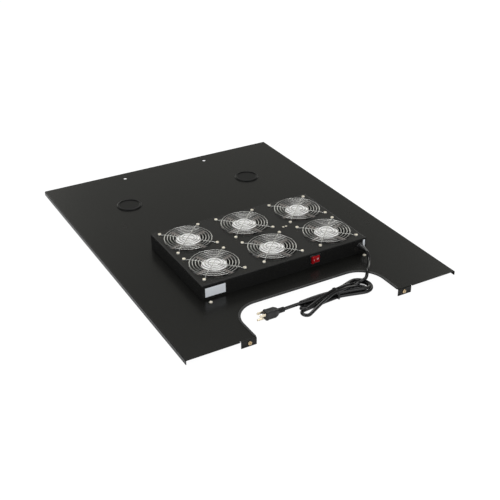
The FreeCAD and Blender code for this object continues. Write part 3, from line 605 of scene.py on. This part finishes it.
# ---------- the bush that holds the cord
# A black nylon strain relief, snapped into the housing's front wall.
# Its boot tapers and is slotted into ribs, so that it bends with the cord.
relief_low, relief_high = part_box("strain_relief")
relief_x = (relief_low.x + relief_high.x) / 2
relief_z = (relief_low.z + relief_high.z) / 2
housing_flange = 0.028
wall_y = housing_low.y + housing_flange
rib_count = 5


def relief_profile():
    """Inner barrel, flange, then ribs that shrink towards the cord, as radius and place."""
    inner = [(0.0052, wall_y + 0.0052), (0.0060, wall_y + 0.0046), (0.0060, wall_y)]
    flange = [(0.0084, 0), (0.0090, -0.0006), (0.0090, -0.0018), (0.0083, -0.0025)]
    flange = [(radius, wall_y + offset) for radius, offset in flange]
    boot_start = wall_y - 0.0030
    groove = 0.0009
    pitch = (boot_start - relief_low.y) / rib_count
    boot = []
    for rib in range(rib_count):
        start = boot_start - rib * pitch
        radius = 0.0072 - 0.0021 * rib / (rib_count - 1)
        boot += [
            (radius - groove, start),
            (radius - groove, start - 0.22 * pitch),
            (radius, start - 0.30 * pitch),
            (radius - 0.0003, start - 0.92 * pitch),
            (radius - groove, start - pitch),
        ]
    return [*inner, *flange, *boot]


relief_nylon = finish(
    "relief_nylon", (0.010, 0.010, 0.010), (0.016, 0.016, 0.016),
    (0.18, 0.28), 150, gloss=0.6, grain=1500, relief=0.06,
)
bush = [(lathe(relief_profile(), 1, (relief_x, relief_z), 40), False)]
relief_piece = add_piece("cord_bush", bush, relief_nylon, replaces=["strain_relief"])


# ----------------- the folded roof panel
# One sheet of 1.5 mm steel with folded sides, powder-coated black.
# The coat is smooth enough to mirror what stands on it, softly.
def paint_node(node, material):
    """Gives a CAD node its only material."""
    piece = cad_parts[node]
    piece.data.materials.clear()
    piece.data.materials.append(material)


panel_paint = finish(
    "panel_paint", (0.0050, 0.0050, 0.0044), (0.0064, 0.0064, 0.0055),
    (0.24, 0.29), 4, gloss=0.22, grain=1500, relief=0.05,
)
paint_node("roof_panel", panel_paint)


# --------- the trim of the cable cut-out
# A rubber channel pushed over the sheet's edge. It follows the cut-out from its
# left front end round to the right one, and has a round nose.
trim_low, trim_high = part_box("cutout_trim")
panel_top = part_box("roof_panel")[1].z
trim_grip = 0.0045
trim_wall = 0.00125
trim_nose = 0.0015
cutout_corner = 0.0615


def trim_path():
    """Points along the cut-out's edge, each with the level direction out into the sheet."""
    half = trim_high.x - trim_grip
    back = trim_high.y - trim_grip
    turn = np.linspace(0, np.pi / 2, 19)
    left = np.stack([-np.cos(turn), np.sin(turn)], axis=1)
    right = np.stack([np.sin(turn), np.cos(turn)], axis=1)
    centre = np.array([half - cutout_corner, back - cutout_corner])
    places = [
        [(-half, trim_low.y)],
        left * cutout_corner + centre * (-1, 1),
        right * cutout_corner + centre,
        [(half, trim_low.y)],
    ]
    outward = [[(-1.0, 0.0)], left, right, [(1.0, 0.0)]]
    return np.concatenate(places), np.concatenate(outward)


def trim_rows():
    """The channel's section at every point of the path: a rounded outside and a square slot."""
    places, outward = trim_path()
    middle = (trim_low.z + trim_high.z) / 2
    radius = (trim_high.z - trim_low.z) / 2
    turn = np.linspace(np.pi / 2, 3 * np.pi / 2, 11)
    nose = np.stack([radius - trim_nose + radius * np.cos(turn), middle + radius * np.sin(turn)], axis=1)
    lip = 0.0004
    start = [(trim_grip, trim_high.z - lip), (trim_grip - lip, trim_high.z)]
    end = [(trim_grip - lip, trim_low.z), (trim_grip, trim_low.z + lip)]
    outside = np.concatenate([start, nose, end])
    slot_height = np.clip(outside[:, 1], trim_low.z + trim_wall, trim_high.z - trim_wall)
    slot = np.stack([np.maximum(outside[:, 0], -0.0001), slot_height], axis=1)
    section = np.concatenate([outside, slot[::-1]])
    rows = np.empty((len(places), len(section), 3))
    rows[..., :2] = places[:, None, :] + outward[:, None, :] * section[None, :, :1]
    rows[..., 2] = section[None, :, 1]
    return rows


trim_rubber = finish(
    "trim_rubber", (0.010, 0.010, 0.010), (0.016, 0.016, 0.016), (0.34, 0.46), 120, grain=2200, relief=0.15
)
add_piece("edge_trim", [(trim_rows(), "zip")], trim_rubber, replaces=["cutout_trim"])


# ----------------------- the fan housing
# A folded steel box with six round vents, in the same black coat.
# Its screws' nuts and the wiring inside keep their plain shapes.
housing_paint = finish(
    "housing_paint", (0.0080, 0.0080, 0.0077), (0.0100, 0.0100, 0.0094),
    (0.24, 0.30), 6, gloss=0.26, grain=1500, relief=0.05,
)
paint_node("fan_housing", housing_paint)


# ------------------------------ the fans
# Cast frames 120 mm square with a round bore. The motor hangs in the middle on four dark
# arms, and its lid wears a white label with rings and mottled print, and no words.
fan_names = [f"{row}_{column}" for row in ("front", "rear") for column in ("left", "middle", "right")]
fan_boxes = {name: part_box(f"fan_frame_{name}") for name in fan_names}
fan_centres = {name: tuple((low + high).xy / 2) for name, (low, high) in fan_boxes.items()}
motor_lid = 0.0310
motor_depth = 0.0080
motor_sink = 0.0003
bore_radius = 0.0575
fan_half = 0.0600
flange_hole = 0.0588
flange_gauge = 0.0050
motor_arm_half = 0.0035
arm_count = 4


def flange_plate(x, y, low):
    """A square plate with rounded corners and a round hole, as sections that go round it."""
    outer = rounded_loop(fan_half, fan_half, 14, 144)
    inner = flange_hole * outer / np.linalg.norm(outer, axis=1)[:, None]
    rows = np.empty((len(outer), 4, 3))
    rows[:, 0:2, :2] = outer[:, None, :] + (x, y)
    rows[:, 2:4, :2] = inner[:, None, :] + (x, y)
    rows[:, (0, 3), 2] = low
    rows[:, (1, 2), 2] = low + flange_gauge
    return rows


def motor_arm(x, y, top, degrees):
    """A flat bar from the motor's rim to the bore's wall."""
    turn = math.radians(degrees)
    out = np.array((math.cos(turn), math.sin(turn)))
    side = np.array((-out[1], out[0])) * motor_arm_half
    low = top - 0.0040
    high = top - motor_sink
    rows = []
    for reach in (motor_lid - 0.001, bore_radius + 0.0008):
        left = out * reach + side + (x, y)
        right = out * reach - side + (x, y)
        rows.append([(*left, low), (*right, low), (*right, high), (*left, high)])
    return rows


bore_metal = finish(
    "bore_metal", (0.12, 0.117, 0.115), (0.19, 0.185, 0.18), (0.34, 0.46), 60, metal=0.6, relief=0.12
)
motor_metal = finish("motor_metal", (0.17, 0.145, 0.135), (0.24, 0.205, 0.19), (0.34, 0.46), 80, metal=0.6)
for name, (x, y) in fan_centres.items():
    foot = fan_boxes[name][0].z
    top = fan_boxes[name][1].z
    bore = [
        (bore_radius + 0.0011, top - 0.0001),
        (bore_radius + 0.0004, top - 0.0014),
        (bore_radius, top - 0.0040),
        (bore_radius, foot + 0.0040),
        (bore_radius + 0.0004, foot + 0.0014),
        (bore_radius + 0.0011, foot + 0.0001),
        (bore_radius + 0.0022, foot + 0.0001),
        (bore_radius + 0.0022, top - 0.0001),
    ]
    casting = [(lathe(bore, 2, (x, y), 120), True)]
    casting += [(flange_plate(x, y, low), True) for low in (foot, top - flange_gauge)]
    add_piece(f"fan_casting_{name}", casting, bore_metal, replaces=[f"fan_frame_{name}"])
    seat_top = top - motor_sink
    seat = [
        (0.0005, top - 0.0006),
        (0.0041, top - 0.0006),
        (0.0041, top - motor_depth),
        (motor_lid, top - motor_depth),
        (motor_lid, seat_top - 0.0006),
        (motor_lid - 0.0006, seat_top),
        (0.0005, seat_top),
    ]
    motor = [(lathe(seat, 2, (x, y)), False)]
    motor += [(motor_arm(x, y, top, 20 + 360 / arm_count * step), False) for step in range(arm_count)]
    add_piece(f"motor_seat_{name}", motor, motor_metal)


def label_surface():
    """White with grey rings and mottled print, worked out from the disc's own map."""
    material = bpy.data.materials.new("label_foil")
    nodes, links = shader_tree(material)
    shader = nodes["Principled BSDF"]
    shader.inputs["Roughness"].default_value = 0.30
    place = add_node(nodes, "UVMap", uv_map="disc")
    reach = add_node(nodes, "VectorMath", operation="LENGTH")
    links.new(place.outputs["UV"], reach.inputs[0])
    rings = add_node(nodes, "ValToRGB")
    rings.color_ramp.interpolation = "CONSTANT"
    stops = rings.color_ramp.elements
    stops[0].color = (0, 0, 0, 1)
    stops[1].position = 0.955
    stops[1].color = (0.5, 0.5, 0.5, 1)
    for spot, shade in ((0.30, 0.8), (0.335, 0.0), (0.62, 0.5), (0.645, 0.0)):
        stop = stops.new(spot)
        stop.color = (shade, shade, shade, 1)
    links.new(reach.outputs["Value"], rings.inputs["Fac"])
    mottle = add_node(nodes, "TexNoise", {"Scale": 5.0, "Detail": 3.0, "Distortion": 1.2})
    links.new(place.outputs["UV"], mottle.inputs["Vector"])
    patches = add_node(nodes, "MapRange", {"From Min": 0.50, "From Max": 0.60, "To Max": 0.55})
    links.new(mottle.outputs["Fac"], patches.inputs["Value"])
    either = add_node(nodes, "Math", operation="MAXIMUM")
    links.new(rings.outputs["Color"], either.inputs[0])
    links.new(patches.outputs["Result"], either.inputs[1])
    white = (0.95, 0.945, 0.93, 1)
    grey = (0.45, 0.43, 0.43, 1)
    tint = add_node(nodes, "Mix", {"A": white, "B": grey}, data_type="RGBA")
    links.new(either.outputs[0], tint.inputs["Factor"])
    links.new(tint.outputs["Result"], shader.inputs["Base Color"])
    return material


label_foil = label_surface()
for name, (x, y) in fan_centres.items():
    top = fan_boxes[name][1].z
    rim = motor_lid - 0.0006
    rise = top + 0.0002
    sink = top - 0.0001
    profile = [(0.004, sink), (rim - 0.0002, sink), (rim, rise), (0.004, rise)]
    shells = [(lathe(profile, 2, (x, y)), False)]
    disc = add_piece(f"motor_label_{name}", shells, label_foil)
    disc_map = disc.data.uv_layers.new(name="disc")
    corners = np.empty(len(disc.data.loops), int)
    disc.data.loops.foreach_get("vertex_index", corners)
    spots = np.empty(len(disc.data.vertices) * 3)
    disc.data.vertices.foreach_get("co", spots)
    flat = (spots.reshape(-1, 3)[corners][:, :2] - (x, y)) / motor_lid
    disc_map.data.foreach_set("uv", flat.ravel())


# ---------------------------- the rotors
# A round hub with five swept blades. A blade's section is a thin cambered wing whose
# chord and pitch change evenly from hub to tip.
blade_count = 5
hub_radius = 0.0300
hub_sink = 0.0090
hub_depth = 0.0240
shaft_radius = 0.0020

# Distance from the axis, chord, and pitch in degrees. The chords and pitches are the CAD's.
blade_root = (0.0285, 0.0330, 44.0)
blade_tip = (0.0560, 0.0520, 25.0)
blade_gauge = 0.0018
blade_camber = 0.0026


def blade_rows(x, y, z, turn):
    """Wing sections from inside the hub out to the tip, wrapped round the axis.

    With t from -1 to 1 along the chord, the camber line is camber * (1 - t**2) and
    the half thickness is gauge / 2 * (1 - t**4) ** 0.5.
    """
    chordwise = np.cos(np.linspace(0, np.pi, 13))
    thick = np.sqrt(np.maximum(1 - chordwise**4, 0)) * blade_gauge / 2
    camber = blade_camber * (1 - chordwise**2)
    along = np.concatenate([chordwise, chordwise[-2:0:-1]])
    rise = np.concatenate([camber + thick, (camber - thick)[-2:0:-1]])
    rows = []
    for share in np.linspace(0, 1, 9):
        reach, chord, pitch = (a * (1 - share) + b * share for a, b in zip(blade_root, blade_tip))
        tilt = math.radians(pitch)
        u = along * chord / 2
        across = u * math.cos(tilt) - rise * math.sin(tilt)
        up = u * math.sin(tilt) + rise * math.cos(tilt)
        angle = turn + across / reach
        rows.append(np.stack([x + reach * np.cos(angle), y + reach * np.sin(angle), z + up], axis=1))
    return np.array(rows)


rotor_plastic = finish(
    "rotor_plastic", (0.009, 0.009, 0.009), (0.014, 0.014, 0.014), (0.45, 0.6), 80, gloss=0.3, relief=0.08
)
for name, (x, y) in fan_centres.items():
    shaft_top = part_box(f"fan_rotor_{name}")[1].z
    hub_top = fan_boxes[name][1].z - hub_sink
    hub_foot = hub_top - hub_depth
    middle = (hub_top + hub_foot) / 2
    hub = [
        (0.004, hub_foot),
        (hub_radius - 0.002, hub_foot),
        (hub_radius - 0.0006, hub_foot + 0.0006),
        (hub_radius, hub_foot + 0.002),
        (hub_radius, hub_top - 0.002),
        (hub_radius - 0.0006, hub_top - 0.0006),
        (hub_radius - 0.002, hub_top),
        (0.004, hub_top),
    ]
    shaft = [
        (0.0005, hub_top - 0.0005),
        (shaft_radius, hub_top - 0.0005),
        (shaft_radius, shaft_top - 0.0004),
        (shaft_radius - 0.0004, shaft_top),
    ]
    body = f"rotor_{name}"
    core = [(lathe(hub, 2, (x, y)), False), (lathe(shaft, 2, (x, y), 24), False)]
    add_piece(f"rotor_hub_{name}", core, motor_metal, body)
    turns = [step * 2 * np.pi / blade_count for step in range(blade_count)]
    blades = [(blade_rows(x, y, middle, turn), False) for turn in turns]
    standing_for = [f"fan_rotor_{name}"]
    add_piece(f"rotor_blades_{name}", blades, rotor_plastic, body, standing_for)


# --------------------- the finger guards
# Seven rings of bright wire, welded between two crossed stays. A stay's legs slope
# down to the eyelets that its ends are bent into.
ring_wire = 0.0018
stay_wire = 0.0019
guard_lift = 0.0016
outer_ring = 0.0580
ring_pitch = 0.00725
ring_count = 7
hole_offset = 0.0525
hole_signs = [(-1, -1), (-1, 1), (1, -1), (1, 1)]
guard_holes = {
    name: [(x + sx * hole_offset, y + sy * hole_offset) for sx, sy in hole_signs]
    for name, (x, y) in fan_centres.items()
}
screw_reach = hole_offset * math.sqrt(2)
eyelet_radius = 0.0034
leg_toe = 0.0690
leg_run = 0.0090
stay_flat = 0.050
housing_top = housing_high.z


def wire_ring(x, y, z, radius, wire, around=96, sides=10):
    """A torus of wire about an upright line."""
    turn = angles_round(around)[:, None]
    side = angles_round(sides)[None, :]
    reach = radius + wire / 2 * np.cos(side)
    height = np.broadcast_to(z + wire / 2 * np.sin(side), (around, sides))
    return np.stack([x + reach * np.cos(turn), y + reach * np.sin(turn), height], axis=-1)


def guard_stay(x, y, lift, degrees):
    """A straight wire between two eyelets that is raised by smooth legs."""
    leg = np.linspace(stay_flat + 0.005, screw_reach - eyelet_radius, 24)
    along = np.concatenate([-leg[::-1], np.linspace(-stay_flat, stay_flat, 6), leg])
    share = np.clip((leg_toe - np.abs(along)) / leg_run, 0, 1)
    height = housing_top + stay_wire / 2 + lift * share * share * (3 - 2 * share)
    turn = math.radians(degrees)
    path = np.stack([x + along * math.cos(turn), y + along * math.sin(turn), height], axis=1)
    return wire_rows(path, stay_wire / 2, 12)


guard_zinc = finish(
    "guard_zinc", (0.52, 0.52, 0.50), (0.62, 0.62, 0.60),
    (0.20, 0.30), 150, metal=1.0, grain=1500, relief=0.04,
)
for name, (x, y) in fan_centres.items():
    ring_z = housing_top + guard_lift + stay_wire + ring_wire / 2
    shells = [
        (guard_stay(x, y, guard_lift, -45), False),
        (guard_stay(x, y, guard_lift + stay_wire + ring_wire, 45), False),
    ]
    for step in range(ring_count):
        shells.append((wire_ring(x, y, ring_z, outer_ring - step * ring_pitch, ring_wire), True))
    for hole_x, hole_y in guard_holes[name]:
        eyelet = wire_ring(hole_x, hole_y, housing_top + stay_wire / 2, eyelet_radius, stay_wire, 32)
        shells.append((eyelet, True))
    add_piece(f"wire_guard_{name}", shells, guard_zinc, replaces=[f"finger_guard_{name}"])


# ---------------------------- the screws
# Zinc-plated pan heads with a cross recess. Four sizes: through the guards, the
# housing's flanges, the front tabs and into the terminal block.
def pan_screw(seat, out, radius, height, shank, length, count=32):
    """Loops from the shank's tip up over the head, about a line along the direction out.

    The head's edge is a quarter ellipse in section. Inside 0.55 of its radius the top is
    sunk along two crossed arms, deepest on their middle lines.
    """
    out = np.array(out, float)
    side = np.cross(out, (0.0, 0.0, 1.0)) if abs(out[2]) < 0.9 else np.array((1.0, 0.0, 0.0))
    other = np.cross(out, side)
    recess_reach = 0.55 * radius
    arm_half_width = 0.13 * radius
    profile = [(0.7 * shank, -length), (shank, -length + 0.3 * shank), (shank, 0.0), (0.97 * radius, 0.0)]
    bend = np.linspace(0, np.pi / 2, 6)
    profile += [(radius * (0.62 + 0.38 * math.cos(a)), height * (0.35 + 0.65 * math.sin(a))) for a in bend]
    profile += [(radius * share, height) for share in (0.50, 0.42, 0.34, 0.26, 0.18, 0.10)]
    angle = angles_round(count)
    rows = []
    for reach, rise in profile:
        arm = np.minimum(np.abs(np.cos(angle)), np.abs(np.sin(angle))) * reach / arm_half_width
        inside = max(0.0, min(1.0, (recess_reach - reach) / (0.12 * radius))) if rise >= height else 0.0
        sunk = rise - 0.5 * height * inside * np.clip(1.6 - arm, 0, 1)
        ring = side * (reach * np.cos(angle))[:, None] + other * (reach * np.sin(angle))[:, None]
        rows.append(np.array(seat, float) + ring + out * sunk[:, None])
    return np.array(rows)


screw_zinc = finish(
    "screw_zinc", (0.80, 0.74, 0.60), (0.92, 0.88, 0.78),
    (0.26, 0.38), 300, metal=0.9, grain=2500, relief=0.08,
)


def add_screws(name, spots, sizes, material, node, out=(0, 0, 1)):
    """Equal screws: sizes are the head's radius and height, then the shank's radius and length."""
    screws = [(pan_screw(spot, out, *sizes), False) for spot in spots]
    add_piece(name, screws, material, replaces=[node])


guard_seat = housing_top + stay_wire
guard_spots = [(*hole, guard_seat) for holes in guard_holes.values() for hole in holes]
guard_sizes = (0.0042, 0.0026, 0.0020, 0.0076)
add_screws("guard_pan_screws", guard_spots, guard_sizes, screw_zinc, "guard_screws")

flange_low, flange_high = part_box("flange_screws")
flange_head = 0.0046
flange_spots = [
    (side_x, side_y, panel_top)
    for side_x in (flange_low.x + flange_head, flange_high.x - flange_head)
    for side_y in (flange_low.y + flange_head, flange_high.y - flange_head)
]
flange_sizes = (flange_head, 0.0024, 0.0025, panel_top - flange_low.z)
add_screws("flange_pan_screws", flange_spots, flange_sizes, screw_zinc, "flange_screws")

tab_zinc = finish("tab_zinc", (0.50, 0.37, 0.21), (0.66, 0.53, 0.34), (0.24, 0.36), 300, metal=1.0)
tab_low, tab_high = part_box("tab_screws")
tab_height = (tab_low.z + tab_high.z) / 2
tab_head = 0.0050
tab_head_height = 0.0028
tab_seat = tab_low.y + tab_head_height
tab_spots = [(side * (tab_high.x - tab_head), tab_seat, tab_height) for side in (-1, 1)]
tab_sizes = (tab_head, tab_head_height, 0.0030, tab_high.y - tab_seat)
add_screws("tab_pan_screws", tab_spots, tab_sizes, tab_zinc, "tab_screws", out=(0, -1, 0))

block_low, block_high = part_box("block_screws")
block_y = (block_low.y + block_high.y) / 2
block_head = 0.0027
block_spots = [(x, block_y, housing_top) for x in (block_low.x + block_head, block_high.x - block_head)]
block_sizes = (block_head, 0.0016, 0.0015, housing_top - block_low.z)
add_screws("block_pan_screws", block_spots, block_sizes, screw_zinc, "block_screws")

paint_node("flange_nuts", screw_zinc)
paint_node("tab_retainers", screw_zinc)


# -------------------- the blanking plugs
# Black plastic plugs snapped into the two spare cable holes: a raised rim, a shallow
# dish and a skirt under the sheet.
plugs_low, plugs_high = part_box("blanking_plugs")
plug_rim = 0.0340
plug_skirt = 0.0296
dish_rim = 0.0280
plug_plastic = finish(
    "plug_plastic", (0.004, 0.004, 0.004), (0.006, 0.006, 0.006),
    (0.30, 0.38), 40, gloss=0.13, grain=1300, relief=0.15,
)


def blanking_plug(x, y):
    """The plug's profile, from the middle of its underside out over the rim to its top."""
    sheet = panel_top
    crown = plugs_high.z
    foot = plugs_low.z
    floor = sheet + 0.0012
    profile = [
        (0.002, sheet),
        (plug_skirt - 0.002, sheet),
        (plug_skirt - 0.002, foot),
        (plug_skirt, foot),
        (plug_skirt, sheet),
        (plug_rim - 0.0003, sheet),
        (plug_rim, sheet + 0.0003),
        (plug_rim - 0.0008, crown - 0.0006),
        (plug_rim - 0.0016, crown),
        (dish_rim + 0.0008, crown),
        (dish_rim, crown - 0.0005),
        (dish_rim - 0.0004, floor),
        (0.002, floor),
    ]
    return lathe(profile, 2, (x, y), 96)


plug_side = plugs_high.x - plug_rim
plug_row = (plugs_low.y + plugs_high.y) / 2
hole_plugs = [(blanking_plug(side * plug_side, plug_row), False) for side in (-1, 1)]
add_piece("hole_plugs", hole_plugs, plug_plastic, replaces=["blanking_plugs"])


# --------------------- the rocker switch
# A black case with a rounded bezel, snapped into the front wall, and a glossy red
# rocker that turns about an upright pin. Its white marks are a bar and a ring.
case_low, case_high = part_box("switch_body")
switch_x = (case_low.x + case_high.x) / 2
switch_z = (case_low.z + case_high.z) / 2
wall_front = case_low.y + 0.0020
rocker_slope = math.radians(10)


def case_rows():
    """Rounded oblong loops from the case's back, out round the bezel and in to the well's floor."""
    stations = [
        (case_high.y, 0.0130, 0.0107),
        (case_high.y - 0.0006, 0.0135, 0.0112),
        (wall_front, 0.0135, 0.0112),
        (wall_front, 0.0155, 0.01275),
        (wall_front - 0.0010, 0.0155, 0.01275),
        (wall_front - 0.0017, 0.0152, 0.01245),
        (wall_front - 0.0020, 0.0146, 0.01185),
        (wall_front - 0.0020, 0.0126, 0.00995),
        (wall_front - 0.0017, 0.0122, 0.00955),
        (wall_front + 0.0106, 0.0122, 0.00955),
    ]
    rows = []
    for depth, half_x, half_z in stations:
        loop = rounded_loop(half_x, half_z, 9, 48)
        rows.append([(switch_x + a, depth, switch_z + b) for a, b in loop])
    return rows


switch_black = finish(
    "switch_black", (0.008, 0.008, 0.009), (0.013, 0.013, 0.014), (0.22, 0.32), 150, grain=1500, relief=0.08
)
add_piece("switch_case", [(case_rows(), False)], switch_black, replaces=["switch_body"])

rocker_half = 0.0110
corner_half = 0.0109
face_half = 0.0106
foot_half = 0.0060
foot_depth = 0.0070
rocker_rise = 0.00925
rocker_valley = 0.0022
pivot_depth = 0.0025


def rocker_spot(across, out, height):
    """A point of the rocker, from places on it, with its left side pressed in."""
    forward = -(out + pivot_depth)
    turned_x = across * math.cos(rocker_slope) - forward * math.sin(rocker_slope)
    turned_y = across * math.sin(rocker_slope) + forward * math.cos(rocker_slope)
    return (switch_x + turned_x, wall_front + pivot_depth + turned_y, switch_z + height)


def rocker_face(across):
    """How far the shallow V of the rocker's face stands out of the wall."""
    return rocker_valley + abs(across) * math.tan(rocker_slope)


def rocker_rows():
    """The rocker's plan at several heights, drawn in a little at both ends."""
    rows = []
    stations = [(-1.0, 0.0005), (-0.97, 0.0001), (-0.9, 0.0), (0.9, 0.0), (0.97, 0.0001), (1.0, 0.0005)]
    for share, inset in stations:
        front = [(a, rocker_face(a) - inset) for a in np.linspace(-face_half, face_half, 17)]
        corner = (corner_half - inset, rocker_face(corner_half) - 0.0003 - inset)
        side = (rocker_half - inset, -pivot_depth)
        foot = (foot_half - inset, -pivot_depth - foot_depth + inset)
        back = [corner, side, foot] + [(-a, out) for a, out in (foot, side, corner)]
        rows.append([rocker_spot(a, out, rocker_rise * share) for a, out in front + back])
    return rows


rocker_red = finish(
    "rocker_red", (0.30, 0.004, 0.007), (0.40, 0.007, 0.011),
    (0.10, 0.16), 60, gloss=0.6, coat=0.6, grain=600, relief=0.03,
)
add_piece("rocker_cap", [(rocker_rows(), False)], rocker_red, "rocker", ["switch_rocker"])

mark_sink = -0.0002
mark_lift = 0.00008


def mark_bar(across, half_width, half_height):
    """The bar: a thin raised oblong on the rocker's face."""
    rows = []
    for lift, grow in ((mark_sink, 1.0), (0.00006, 1.0), (mark_lift, 0.9)):
        loop = rounded_loop(half_width * grow, half_height * grow, 8, 24)
        rows.append([rocker_spot(across + a, rocker_face(across + a) + lift, b) for a, b in loop])
    return rows


def mark_ring(across, radius, width):
    """The ring: a thin raised loop on the rocker's face."""
    inner = radius - width
    section = [(radius, mark_sink), (radius, mark_lift), (inner, mark_lift), (inner, mark_sink)]
    rows = []
    for turn in angles_round(40):
        row = []
        for reach, lift in section:
            a = across + reach * math.cos(turn)
            row.append(rocker_spot(a, rocker_face(a) + lift, reach * math.sin(turn)))
        rows.append(row)
    return rows


mark_white = finish("mark_white", (0.80, 0.80, 0.80), (0.88, 0.88, 0.88), (0.4, 0.5), 200)
mark_place = 0.0058
bar = mark_bar(-mark_place, half_width=0.0005, half_height=0.0020)
ring = mark_ring(mark_place, radius=0.0019, width=0.0007)
add_piece("rocker_marks", [(bar, False), (ring, True)], mark_white, "rocker")


# --------------- labels and hidden parts
# Two blank white labels on the front wall. Inside are brass tabs, bronze sleeves, a
# terminal block and sleeved leads.
label_paper = finish(
    "label_paper", (0.72, 0.75, 0.78), (0.80, 0.83, 0.87), (0.35, 0.45), 90, gloss=0.4, relief=0.04
)
for node in ("front_label", "strip_label"):
    paint_node(node, label_paper)
brass = finish("terminal_brass", (0.62, 0.44, 0.18), (0.74, 0.54, 0.26), (0.25, 0.4), 200, metal=1.0)
paint_node("switch_terminals", brass)
bronze = finish("sleeve_bronze", (0.36, 0.24, 0.12), (0.46, 0.32, 0.17), (0.4, 0.55), 300, metal=1.0)
paint_node("bearing_sleeves", bronze)
block_white = finish("block_plastic", (0.55, 0.55, 0.52), (0.64, 0.64, 0.61), (0.4, 0.55), 120)
paint_node("terminal_block", block_white)
lead_sleeve = finish("lead_sleeve", (0.014, 0.014, 0.014), (0.022, 0.022, 0.022), (0.45, 0.6), 200)
for node in ("fan_loom", "switch_lead"):
    paint_node(node, lead_sleeve)
